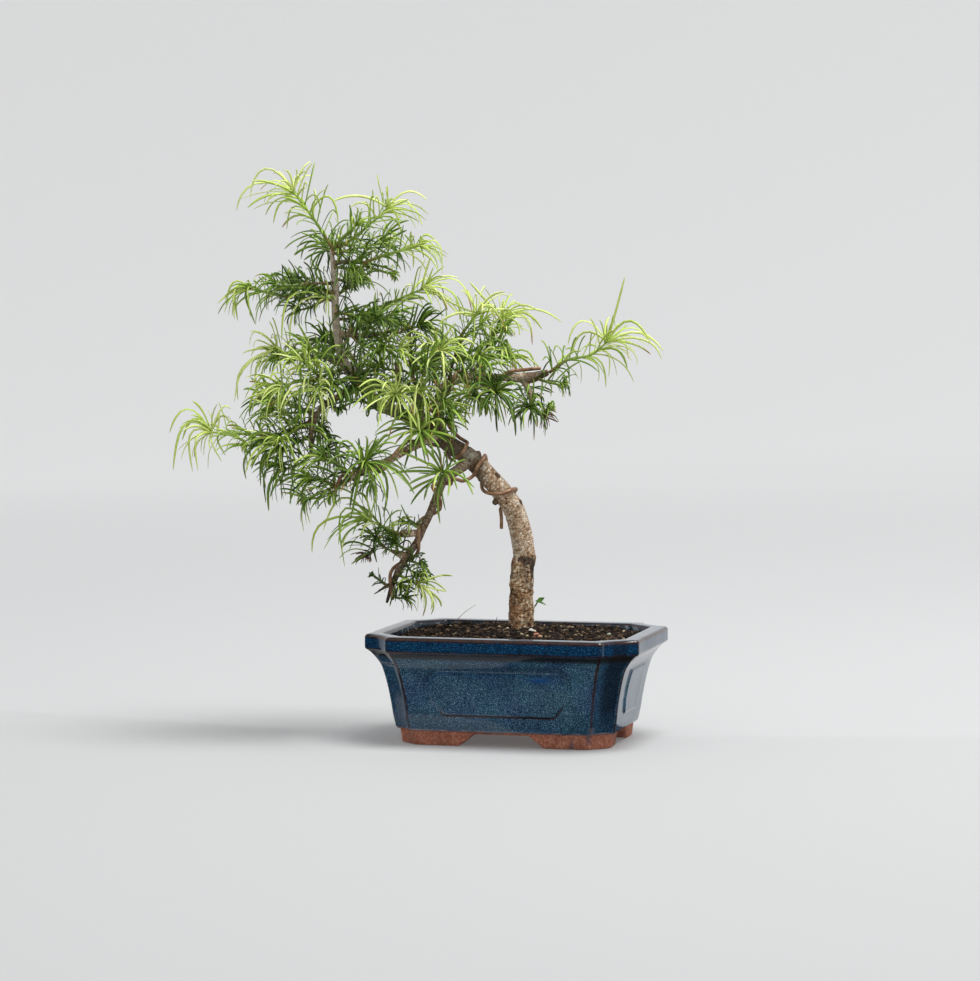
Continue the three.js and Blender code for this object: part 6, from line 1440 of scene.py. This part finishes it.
def sprayNeedles(rule, number):
    # every needle of a spray as arrays: roots, reaches, droops, rises, facings, widths, tones
    stem = np.array(rule["stem"], float)
    bright = smoothStep(0.3, 0.6, np.mean(rule["tone"]))
    if "onWood" in rule:
        length = alongRoute(stem, [0])[2]
        groups = [stemNeedles(rule, stem, rule["onWood"], length, needleShape["twigPitch"], number)]
    else:
        foot = nearestWood(stem[0])[1][0]
        if np.linalg.norm(foot - stem[0]) > 1:
            stem = np.vstack([foot, stem])
        fine = np.linspace(0, 1, 60)
        path, _, length = alongRoute(stem, fine)
        start = fine[np.argmax(nearestWood(path)[2] > 0.2)]
        pitch = spread(*needleShape["pitch"], bright)
        groups = [
            stemNeedles(rule, stem, start, length, pitch, number),
            tuftNeedles(rule, stem, bright, number),
        ]
    if rule["traced"]:
        groups.append(tracedNeedles(rule["traced"], stem, number))
    joined = {key: np.concatenate([group[key] for group in groups]) for key in groups[0]}
    # none reaches further to the front or the back than the tree's own depth
    limit = needleShape["depthLimit"]
    root = fromTree(joined["root"])[:, 1]
    tip = fromTree(joined["root"] + joined["reach"])[:, 1]
    room = np.clip((limit - np.abs(root)) / np.maximum(np.abs(tip - root), 0.01), 0.2, 1)
    joined["reach"] = joined["reach"] * np.where(np.abs(tip) > limit, room, 1)[:, None]
    kept = keptOut(joined)
    joined["reach"] = joined["reach"] * kept[:, None]
    joined["droop"] = joined["droop"] * kept
    return stem, joined


def keptOut(needles):
    # the share of its length that each needle keeps: it ends where root + reach * t - droop * t^2
    # first comes into an open place, which each needle sees a little wider or narrower
    t = np.linspace(0, 1, 13)
    x = needles["root"][:, :1] + needles["reach"][:, :1] * t
    z = needles["root"][:, 2:] + needles["reach"][:, 2:] * t - needles["droop"][:, None] * t ** 2
    ragged = 0.8 + 0.35 * wave(needles["seed"], 15)[:, None]
    kept = np.ones(len(x))
    for patch in openPlaces:
        inside = np.hypot(*fromMiddle(x, z, patch)) < ragged
        first = np.clip(t[np.argmax(inside, axis=1)], 0.3, 1)
        kept = np.where(inside.any(axis=1), np.minimum(kept, first), kept)
    return kept


def makeSpray(name, rule, number, nodes):
    stem, needles = sprayNeedles(rule, number)
    seed, reach = needles["seed"], needles["reach"]
    swayWay = unit(np.cross(reach, needles["facing"]) + 1e-6)
    size = np.linalg.norm(reach, axis=1)
    sway = swayWay * (size * 0.2 * (wave(seed, 6) - 0.5))[:, None]
    roll = 1.6 * (wave(seed, 7) - 0.5)
    facing = unit(unit(needles["facing"]) + swayWay * roll[:, None])
    # those that go down leave the stem sideways first, so they bulge outwards
    outward = unit(reach * [1, 1, 0] + 0.4 * size[:, None] * needles["way"] * [1, 1, 0] + 1e-6)
    bulge = size * 0.18 * smoothStep(0.1, -0.75, reach[:, 2] / size)
    sway = sway + outward * bulge[:, None]
    lines = needleLines(needles["root"], reach, needles["droop"], needles["rise"], sway)
    # about a third of the needles hook over towards their tips, by hook * t^4
    hook = 0.9 * np.clip(wave(seed, 12) - 0.62, 0, 1) * size
    hookWay = -0.7 * unit(reach) + [0, 0, -0.7]
    t = np.array(needleShape["stations"])[None, :, None]
    lines += hookWay[:, None] * hook[:, None, None] * t ** 4
    slim = spread(1.0, 0.86, smoothStep(0.3, 0.8, np.mean(rule["tone"])))
    widths = needleShape["width"] * slim * (0.8 + 0.35 * wave(seed, 8)) * np.clip(size / 20, 0.8, 1.1)
    rings = needleRings(lines, facing, widths)
    # painted shade and light: darker at the shoot's foot and on sprays inside the crown, brighter to the
    # tip and on outer shoots, with some random tone
    tone = spread(*rule["tone"], needles["share"]) + 0.4 * (wave(seed, 9) - 0.5)
    tone = tone + 0.3 * (wave(seed, 13) > 0.86)
    chance = np.full(len(rings), -1.0) if "withered" in rule else wave(seed, 10)
    values = {
        "tone": tone[:, None, None], "along": t, "chance": chance[:, None, None],
        "edge": needleShape["edge"],
    }
    values = {key: np.broadcast_to(own, rings.shape[:3]).ravel() for key, own in values.items()}
    points, faces = rings.reshape(-1, 3), [needleFaces(len(rings))]
    materials, kinds, slotName = [larchNeedle], None, "needles_dark"
    if "onWood" not in rule:
        # the green shoot: a slim tapering tube, a little wider at each needle's foot
        share = np.linspace(0, 1, 36)
        stemLine, directions, length = alongRoute(stem, share)
        radii = spread(*needleShape["stem"], share) * (1 + 0.12 * np.sin(share * length * 4.2))
        radii[-3:] *= [0.95, 0.75, 0.35]
        stemPoints, stemFaces = closedTube(roundTube(stemLine, directions, radii, 8))
        place = np.append(np.repeat(share, 8), [0, 1])
        points, allFaces, values = gathered([(points, faces, values), (stemPoints, stemFaces, {
            "tone": spread(*rule["tone"], place), "along": place, "chance": place * 0 + 2,
            "edge": place * 0,
        })])
        materials = [larchNeedle, greenShoot]
        kinds = np.concatenate([np.zeros(len(faces[0])), np.ones(sum(map(len, stemFaces)))])
        slotName = "needles_bright" if np.mean(rule["tone"]) > 0.48 else "needles_dark"
        faces = allFaces
    makePiece(f"foliage_{name}", fromTree(points), faces, materials, nodes, values, kinds)


def makeNeedleMaterial():
    # soft deciduous larch needle: thin, waxy and half clear, with a paler midrib and a few tips dried to
    # tan; its green runs from dark green, which is painted shade inside the crown, to yellow green, which
    # is painted light on the new outer shoots
    material, add = newMaterial("larchNeedle")
    green = add("ValToRGB", {"Fac": "tone"}, stops=[
        (0, "243d13"), (1, "dfeb90"), (0.25, "4c7021"), (0.5, "82a53a"), (0.75, "b8cf5d"),
    ])
    place = add("TexCoord", out="Object")
    blotch = add("TexNoise", {"Vector": place, "Scale": perMillimetres(6), "Detail": 2})
    yellow, rib, tip = (
        add("MapRange", {"Value": pattern, "From Min": low, "From Max": high, "To Min": a, "To Max": b})
        for pattern, low, high, a, b in (
            (blotch, 0.45, 0.7, 0, 0.3), ("edge", 0, 0.35, 0.22, 0), ("along", 0.74, 0.95, 0, 1),
        )
    )
    dried, withered = (
        add("Math", {0: "chance", 1: limit}, {"operation": "LESS_THAN"}) for limit in (0.07, -0.5)
    )
    dried = add("Math", {0: tip, 1: dried}, {"operation": "MULTIPLY"})
    colour = layered(add, green, [
        [yellow, 1, "#a3b045"], [rib, 1, "#c9dd8a"], [dried, 1, "#ad8048"], [withered, 1, "#6b4c33"],
    ])
    return finishMaterial(material, {
        "Base Color": colour, "Roughness": 0.44, "IOR": 1.42, "Specular IOR Level": 0.4,
    })


def makeShootMaterial():
    # green shoot: this year's growth, smooth and slightly ribbed, tan where it leaves the wood
    material, add = newMaterial("greenShoot")
    # the shoot's green follows its spray's painted shade and tone
    fresh = add("ValToRGB", {"Fac": "tone"}, stops=[(0, "4d5a28"), (1, "a9c65a"), (0.5, "7c963c")])
    woody = add("MapRange", {
        "Value": "along", "From Min": 0.05, "From Max": 0.4, "To Min": 0.8, "To Max": 0,
    })
    place = add("TexCoord", out="Object")
    grain = add("TexNoise", {"Vector": place, "Scale": perMillimetres(0.9), "Detail": 2})
    return finishMaterial(material, {
        "Base Color": layered(add, fresh, [[woody, 1, "#86673f"]]), "Roughness": 0.55,
        "Normal": add("Bump", {"Height": grain, "Distance": 0.15 * metre, "Strength": 0.5}),
    })


larchNeedle = makeNeedleMaterial()
greenShoot = makeShootMaterial()
for number, (name, row) in enumerate(sprays.items()):
    makeSpray(name, sprayRule(*row), number, [f"spray_{name}"])
for number, (name, row) in enumerate(fillingSprays.items()):
    makeSpray(name, sprayRule(*row), number + len(sprays), [])
for number, (name, (start, end, tone)) in enumerate(leafyTwigs.items()):
    stem = alongRoute(np.array(limbs[name], float)[:, :3], np.linspace(0, end, 6))[0]
    rule = sprayRule(stem, [14, 16], [tone, tone + 0.15], {"onWood": start / end})
    makeSpray(f"twig_{name}", rule, 100 + number, [])
print("foliage made:", len(sprays) + len(fillingSprays) + len(leafyTwigs), "sprays")


# Soil with crumbs, fibres and pebbles

soilShape = {
    "edge": 57.0,
    "edgeInset": 10.3,
    "edgeCut": 13.8,
    "rings": 95,
    "crumbs": 2900,
    "fibres": 560,
    "clear": 0.3,  # between the soil and the pot
    "seed": 7,
}


def soilShare(x, y):
    # 1 at the pot's wall and 0 at the trunk's foot
    halfX, halfY = (potShape[key] / 2 - soilShape["edgeInset"] for key in ("length", "width"))
    diagonal = 1 / math.sqrt(2)
    corner = (halfX + halfY - soilShape["edgeCut"]) / math.sqrt(2)
    footX, footY = treePlace["foot"][:2]
    share = np.zeros(np.shape(x))
    for nx, ny, limit in (
        (1, 0, halfX), (-1, 0, halfX), (0, 1, halfY), (0, -1, halfY), (diagonal, diagonal, corner),
        (diagonal, -diagonal, corner), (-diagonal, diagonal, corner), (-diagonal, -diagonal, corner),
    ):
        away = nx * (x - footX) + ny * (y - footY)
        share = np.maximum(share, away / (limit - nx * footX - ny * footY))
    return share


def soilHeight(x, y):
    # a low mound towards the trunk, edge + mound * (1 - share^2), lumpy at three sizes
    share = soilShare(x, y)
    flat = np.stack([x, y, 0 * x], -1).reshape(-1, 3)
    lumps = 1.1 * field(flat, 9, 21) + 1.0 * field(flat, 3.2, 22) + 0.55 * field(flat, 1.3, 23)
    mound = treePlace["foot"][2] - soilShape["edge"]
    calm = 0.35 + 0.65 * smoothStep(1.0, 0.9, share)
    return soilShape["edge"] + mound * (1 - share ** 2) + lumps.reshape(np.shape(x)) * calm


def makeSoil():
    # sides a little clear of the pot's wall, then rings that shrink towards the trunk's foot
    clear = soilShape["clear"]
    side = np.array([
        [21 + clear, 13.4, 9, 0.03], [21 + clear, 13.4, 9, 1], [17.5 + clear, 30, 11, 1],
        [14 + clear, 43, 12, 1], [11 + clear, 52, 13.5, 1],
        [soilShape["edgeInset"], soilShape["edge"], soilShape["edgeCut"], 1],
    ])
    outline = potOutline(side)
    heights = np.broadcast_to(side[:, 1][:, None, None], (*outline.shape[:2], 1))
    low = np.concatenate([outline * side[:, 3][:, None, None], heights], -1)[:-1]
    foot = np.array(treePlace["foot"][:2])
    flat = foot + (outline[-1] - foot)[None] * np.linspace(1, 0.02, soilShape["rings"])[:, None, None]
    top = np.concatenate([flat, soilHeight(flat[..., 0], flat[..., 1])[..., None]], -1)
    points, faces = closedTube(np.concatenate([low, top]))
    makePiece("potting_soil", points + potMiddle, faces, [pottingSoil], ["soil"], {
        "shade": np.zeros(len(points))
    })


def lump():
    # twelve corners of an icosahedron and its twenty faces
    golden = (1 + math.sqrt(5)) / 2
    corners = np.array([
        [-1, golden, 0], [1, golden, 0], [-1, -golden, 0], [1, -golden, 0], [0, -1, golden],
        [0, 1, golden], [0, -1, -golden], [0, 1, -golden], [golden, 0, -1], [golden, 0, 1],
        [-golden, 0, -1], [-golden, 0, 1],
    ])
    faces = np.array([
        [0, 11, 5], [0, 5, 1], [0, 1, 7], [0, 7, 10], [0, 10, 11], [1, 5, 9], [5, 11, 4],
        [11, 10, 2], [10, 7, 6], [7, 1, 8], [3, 9, 4], [3, 4, 2], [3, 2, 6], [3, 6, 8], [3, 8, 9],
        [4, 9, 5], [2, 4, 11], [6, 2, 10], [8, 6, 7], [9, 8, 1],
    ])
    return unit(corners), faces


def scattered(random, count, limit):
    # places on the soil, none outside the share of it that limit gives
    x = random.uniform(-70, 70, count * 3)
    y = random.uniform(-52, 52, count * 3)
    share = soilShare(x, y)
    keep = (share < limit) & (np.hypot(x - treePlace["foot"][0], y - treePlace["foot"][1]) > 7.5)
    return x[keep][:count], y[keep][:count]


def makeCrumbs(random):
    # lumps of twenty faces, each stretched, dented and turned by chance, half sunk in the soil
    corners, faces = lump()
    x, y = scattered(random, soilShape["crumbs"], 0.97)
    count = len(x)
    radius = 0.38 + 1.1 * random.random(count) ** 2.4
    stretch = random.uniform(0.5, 1.6, (count, 1, 3))
    rough = random.uniform(0.78, 1.22, (count, len(corners), 1))
    turn = random.uniform(0, 2 * np.pi, count)[:, None]
    shape = corners[None] * rough * stretch * radius[:, None, None]
    shape[..., 2] *= 0.75
    sx = shape[..., 0] * np.cos(turn) - shape[..., 1] * np.sin(turn)
    sy = shape[..., 0] * np.sin(turn) + shape[..., 1] * np.cos(turn)
    place = np.stack([x, y, soilHeight(x, y) + radius * 0.25], -1)
    points = np.stack([sx, sy, shape[..., 2]], -1) + place[:, None]
    shade = np.repeat(random.random(count) * np.where(radius > 1.0, 0.93, 1), len(corners))
    makePiece(
        "soil_crumbs", points.reshape(-1, 3) + potMiddle, [repeated(faces, count, len(corners))],
        [pottingSoil], [], {"shade": shade},
    )


def makeFibres(random):
    # bits of root and bark: bowed strands with three sides, lying on the soil
    x, y = (values[:, None] for values in scattered(random, soilShape["fibres"], 0.93))
    count = len(x)
    heading = random.uniform(0, 2 * np.pi, count)[:, None]
    length = (1.8 + 6.5 * random.random(count) ** 2.2)[:, None]
    t = np.linspace(-0.5, 0.5, 7)
    bow = random.uniform(-0.06, 0.06, count)[:, None]
    along = length * t
    off = length * bow * (0.25 - t ** 2) * 4 * 0.5
    px = x + along * np.cos(heading) - off * np.sin(heading)
    py = y + along * np.sin(heading) + off * np.cos(heading)
    inside = soilShare(px, py).max(1) < 0.985
    px, py = px[inside], py[inside]
    count = len(px)
    thick = random.uniform(0.1, 0.3, count)[:, None] * (1 - 0.7 * (2 * t[None]) ** 4)
    lift = random.uniform(0.2, 1.3, count)[:, None] * (1 - 4 * t[None] ** 2)
    pz = soilHeight(px, py) * 0.2 + soilHeight(px, py).mean(1, keepdims=True) * 0.8 + 0.35 + lift
    lines = np.stack([px, py, pz], -1)
    side, up = sideways(unit(np.gradient(lines, axis=1)), (0, 0, 1))
    angle = (np.arange(3) * 2 * np.pi / 3)[:, None]
    spokes = np.cos(angle) * side[:, :, None] + np.sin(angle) * up[:, :, None]
    rings = lines[:, :, None] + thick[..., None, None] * spokes
    strand = 3 * len(t)  # points of one strand
    faces = [
        repeated(gridFaces(len(t), 3), count, strand),
        repeated([[2, 1, 0], [strand - 3, strand - 2, strand - 1]], count, strand),
    ]
    shade = np.repeat(0.5 + 0.5 * random.random(count), strand)
    makePiece(
        "soil_fibres", rings.reshape(-1, 3) + potMiddle, faces, [dryFibre], [],
        {"shade": shade},
    )


strays = {
    # a fallen needle that leans on the back of the rim, and a splinter beside the trunk:
    # the route, the radius at its two ends and the shade
    "stray_needle": (
        [[-36, 48.5, -0.1], [-31.2, 48.5, 4.2], [-28, 49, 6.4], [-25.6, 49, 8]], 0.16, 0.08, 0.85,
    ),
    "splinter": ([[-15.5, 2, -4], [-14.2, 2, 2.5], [-13.2, 2, 5.6]], 0.5, 0.12, 0.55),
}


def makeStrays():
    # tapering tubes along their routes
    share = np.linspace(0, 1, 22)
    for name, (route, first, last, shade) in strays.items():
        points, directions, _ = alongRoute(fromTree(np.array(route, float)), share)
        rings = roundTube(points, directions, spread(first, last, share), 6)
        points, faces = closedTube(rings)
        makePiece(name, points, faces, [dryFibre], [], {"shade": np.full(len(points), shade)})


def makeSoilMaterial():
    # potting soil: damp peat and bark fines, dark brown and quite matt, with paler bits
    material, add = newMaterial("pottingSoil")
    place = add("TexCoord", out="Object")
    grain = add("TexNoise", {
        "Vector": place, "Scale": perMillimetres(1.1), "Detail": 5, "Roughness": 0.75,
    })
    dark = add("ValToRGB", {"Fac": grain}, stops=[
        (0.4, "030202"), (0.76, "a68f76"), (0.52, "150e09"), (0.64, "44352a"),
    ])
    crumbColour = add("ValToRGB", {"Fac": "shade"}, stops=[
        (0, "000000"), (1, "b9a98c"), (0.5, "0a0705"), (0.78, "2e221a"), (0.93, "6a553f"),
    ])
    colour = add(
        "Mix", {0: 1, 6: dark, 7: crumbColour}, {"data_type": "RGBA", "blend_type": "ADD"}, out=2
    )
    return finishMaterial(material, {
        "Base Color": colour, "Roughness": 0.93, "Specular IOR Level": 0.2,
        "Normal": add("Bump", {"Height": grain, "Distance": 0.5 * metre, "Strength": 0.8}),
    })


def makeFibreMaterial():
    # dry plant fibre: split roots and bark in the soil, straw to brown and matt
    material, add = newMaterial("dryFibre")
    colour = add("ValToRGB", {"Fac": "shade"}, stops=[
        (0.5, "150e0a"), (1, "ab9778"), (0.7, "31231a"), (0.88, "59442f"),
    ])
    return finishMaterial(material, {
        "Base Color": colour, "Roughness": 0.85, "Specular IOR Level": 0.25,
    })


pottingSoil = makeSoilMaterial()
dryFibre = makeFibreMaterial()
soilRandom = np.random.default_rng(soilShape["seed"])
makeSoil()
makeCrumbs(soilRandom)
makeFibres(soilRandom)
makeStrays()
print("soil made")


# Seedling, pebbles and drain screens

seedlingShape = {
    "stem": [[5, 9, -4], [6, 8.5, 5], [7.3, 7.5, 10], [8.6, 6.5, 12], [9.6, 6, 14]],
    "radius": [0.55, 0.4],
    # heading, the way that the blade faces, length, width
    "leaves": [
        [[0.75, -0.2, 0.55], [-0.4, -0.8, 0.5], 4.6, 2.8],
        [[0.97, -0.1, -0.2], [0.2, -0.2, 0.95], 5.0, 3.0],
        [[-0.3, -0.6, 0.5], [0.2, -0.6, 0.5], 1.8, 1.2],
    ],
}


def leafBlade(root, heading, facing, length, width):
    # a rounded leaf: half width sin(pi * t^0.8) with a fold along the middle and a bowed tip,
    # its two faces a paper's thickness apart
    t = np.linspace(0, 1, 13)[:, None]
    s = np.linspace(-1, 1, 9)[None, :]
    heading = unit(heading)
    across = unit(np.cross(heading, facing))
    face = np.cross(across, heading)
    half = width / 2 * np.sin(np.pi * np.clip(t, 0.01, 0.99) ** 0.8)
    fold = 0.28 * half * np.abs(s) + 0.1 * np.sin(7 * t) * s ** 2 - 0.5 * t ** 2 * length * 0.25
    upper = root + heading * (length * t[..., None]) + across * (half * s)[..., None]
    upper = upper + face * fold[..., None]
    lower = upper - face * 0.28
    return closedTube(np.concatenate([upper, lower[:, ::-1]], axis=1))


def makeSeedling():
    shape = seedlingShape
    share = np.linspace(0, 1, 16)
    points, directions, _ = alongRoute(np.array(shape["stem"], float), share)
    tube = roundTube(points, directions, spread(*shape["radius"], share), 8)
    blades = [leafBlade(points[-1] - directions[-1] * 0.3, *leaf) for leaf in shape["leaves"]]
    points, faces, _ = gathered([(*part, {}) for part in (closedTube(tube), *blades)])
    makePiece("seedling", fromTree(points), faces, [seedlingLeaf], ["sprout"])


pebbles = [
    # across, depth, radius, colour
    [5.6, -22, 1.4, "d9d6cf"],
    [7.2, -27, 1.0, "cfc7b4"],
    [8.2, -35, 1.6, "b06a50"],
    [10.4, -40, 1.1, "c89c7c"],
    [0.3, -31, 1.1, "c6bd96"],
    [3.1, -37, 0.9, "aba173"],
    [13.5, -38, 0.9, "a8a06a"],
    [29, -1, 0.8, "b9ad8d"],
    [49, -20, 1.1, "a3a791"],
    [-7.5, -14, 0.8, "b3a88f"],
    [-30, -12, 1.0, "a39a86"],
]


def makePebbles():
    # small stones: spheres pressed flatter and dented by a smooth random field
    u = np.linspace(0, np.pi, 11)[1:-1, None]
    v = np.linspace(0, 2 * np.pi, 14, endpoint=False)[None, :]
    ball = np.stack(np.broadcast_arrays(np.sin(u) * np.cos(v), np.sin(u) * np.sin(v), -np.cos(u)), -1)
    parts, faceCounts = [], []
    for number, (across, depth, radius, _) in enumerate(pebbles):
        x, y, _ = fromTree([across, depth, 0]) - potMiddle
        z = soilHeight(x, y) + radius * 0.45
        dents = 1 + 0.22 * field(ball.reshape(-1, 3) + number * 5, 0.8, 31).reshape(ball.shape[:2])
        rings = ball * dents[..., None] * radius * [1.15, 0.9, 0.75] + [x, y, z]
        points, faces = closedTube(rings)
        parts.append((points, faces, {}))
        faceCounts.append(sum(map(len, faces)))
    points, faces, _ = gathered(parts)
    materials = [makeStone(colour) for *_, colour in pebbles]
    kinds = np.repeat(np.arange(len(pebbles)), faceCounts)
    makePiece("pebbles", points + potMiddle, faces, materials, [], None, kinds)


def makeStone(colour):
    # river gravel: rolled smooth and dull, each stone of one colour with faint clouds
    material, add = newMaterial("riverGravel")
    place = add("TexCoord", out="Object")
    clouds = add("TexNoise", {"Vector": place, "Scale": perMillimetres(0.9), "Detail": 3})
    share = add("MapRange", {"Value": clouds, "From Min": 0.4, "From Max": 0.7, "To Max": 0.5})
    stone = layered(add, linear(colour), [[share, 1, "#6b5a48"]])
    return finishMaterial(material, {"Base Color": stone, "Roughness": 0.6})


def makeCloudedMaterial(name, size, dark, light):
    # a satin material of one colour with faint clouds of a size in mm
    material, add = newMaterial(name)
    place = add("TexCoord", out="Object")
    clouds = add("TexNoise", {"Vector": place, "Scale": perMillimetres(size), "Detail": 2})
    colour = add("ValToRGB", {"Fac": clouds}, stops=[(0.3, dark), (0.7, light)])
    return finishMaterial(material, {"Base Color": colour, "Roughness": 0.5})


# seedling leaf: thin and soft with a light waxy bloom
seedlingLeaf = makeCloudedMaterial("seedlingLeaf", 1.5, "2f5518", "5d8a30")
makeSeedling()
makePebbles()
# polyethylene mesh: extruded black plastic, satin with faint flow marks
screenPlastic = makeCloudedMaterial("polyethyleneMesh", 2, "17181a", "2c2e31")
for node in ("drain_screen_left", "drain_screen_right"):
    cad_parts[node].material_slots[0].material = screenPlastic
print("seedling, pebbles and screens made")


# Floor, backdrop and light

stageLook = {
    "floorRadius": 2.3,  # metres
    "bend": 1.3,
    "wall": 0.6,
    "paper": "#aaaaaa",
    # the paper's own light: none at first, and the most of it from a distance on, in metres
    "glow": {"middle": (0.79, -0.78, 0), "from": 0.3, "to": 3.5, "most": 0.4},
    # a dark card that only reflections see, in front and to the right, which keeps the glaze
    # deep: degrees from the front, and rows of [radius, height] in metres
    "card": {
        "from": -102, "to": 104, "columns": 49, "colour": "#161412",
        "rows": [[0.078, 0.002], [0.9, 0.002], [1.5, 0.002], [2.1, 0.002], [2.1, 0.7]],
    },
    "sky": ("#eef1f4", 0.66),
    # [name, place, target, width and height, watts]
    "lights": [
        ["softbox above", (0.75, -0.2, 2.3), (0, 0, 0.12), (1.3, 1.3), 78],
        ["softbox left", (-1.5, -1.2, 0.9), (0, 0, 0.15), (0.9, 1.2), 7],
        ["softbox right", (1.6, -0.6, 0.8), (0, 0, 0.12), (0.8, 1.2), 7],
    ],
}


def makeStage():
    # a pale floor that curves up into a wall all round: a profile turned about the vertical
    bend = np.linspace(0, np.pi / 2, 24)
    floor, turn = stageLook["floorRadius"], stageLook["bend"]
    radius = np.concatenate([
        np.linspace(0.02, floor, 12), floor + turn * np.sin(bend[1:]), [floor + turn] * 6,
    ])
    wall = np.linspace(turn, turn + stageLook["wall"], 7)[1:]
    height = np.concatenate([np.zeros(12), turn * (1 - np.cos(bend[1:])), wall])
    angle = np.linspace(0, 2 * np.pi, 96, endpoint=False)
    points = np.stack(np.broadcast_arrays(
        radius[:, None] * np.cos(angle), radius[:, None] * np.sin(angle), height[:, None]
    ), -1)
    rows = len(radius)
    faces = [gridFaces(rows, 96)[:, ::-1], fanFaces(0, 96, rows * 96, False)]
    stage = plainObject("studio_floor", np.vstack([points.reshape(-1, 3), [[0, 0, 0]]]), faces)
    stage.data.shade_smooth()
    # backdrop paper: matt and pale, with a little light of its own that grows away from the lamp,
    # so that floor and wall come out as one even grey
    material, add = newMaterial("backdropPaper")
    place = add("TexCoord", out="Object")
    look = stageLook["glow"]
    away = add(
        "VectorMath", {0: place, 1: look["middle"]}, {"operation": "DISTANCE"}, out="Value"
    )
    glow = add("MapRange", {
        "Value": away, "From Min": look["from"], "From Max": look["to"], "To Min": 0,
        "To Max": look["most"],
    })
    stage.data.materials.append(finishMaterial(material, {
        "Base Color": stageLook["paper"], "Roughness": 0.9, "Emission Color": "#ffffff",
        "Emission Strength": glow,
    }))


def makeCard():
    # part of a flat ring that turns up into a low wall: (radius sin a, -radius cos a, height)
    look = stageLook["card"]
    columns = look["columns"]
    angle = np.radians(np.linspace(look["from"], look["to"], columns))
    radius, height = np.array(look["rows"]).T[..., None]
    points = np.stack(np.broadcast_arrays(
        radius * np.sin(angle), -radius * np.cos(angle), height
    ), -1)
    # the quads of closed rows, without the one in each row that closes it
    faces = gridFaces(len(radius), columns).reshape(-1, columns, 4)[:, :-1].reshape(-1, 4)
    card = plainObject("dark_card", points.reshape(-1, 3), [faces])
    material, _ = newMaterial("blackFelt")
    inputs = {"Base Color": look["colour"], "Roughness": 1.0}
    card.data.materials.append(finishMaterial(material, inputs))
    for ray in ("camera", "diffuse", "transmission", "volume_scatter", "shadow"):
        setattr(card, f"visible_{ray}", False)


def makeLight(name, place, target, size, watts):
    data = bpy.data.lights.new(name, "AREA")
    data.shape = "RECTANGLE"
    data.size, data.size_y = size
    data.energy = watts
    light = bpy.data.objects.new(name, data)
    light.location = place
    direction = np.array(target, float) - place
    light.rotation_euler = (
        math.acos(-direction[2] / np.linalg.norm(direction)), 0,
        math.atan2(direction[0], -direction[1]),
    )
    bpy.context.scene.collection.objects.link(light)


def makeLighting():
    world = bpy.data.worlds.new("studio")
    bpy.context.scene.world = world
    world.use_nodes = True
    background = world.node_tree.nodes["Background"]
    colour, strength = stageLook["sky"]
    background.inputs["Color"].default_value = linear(colour)
    background.inputs["Strength"].default_value = strength
    for light in stageLook["lights"]:
        makeLight(*light)


makeStage()
makeCard()
makeLighting()
print("stage and lights made")
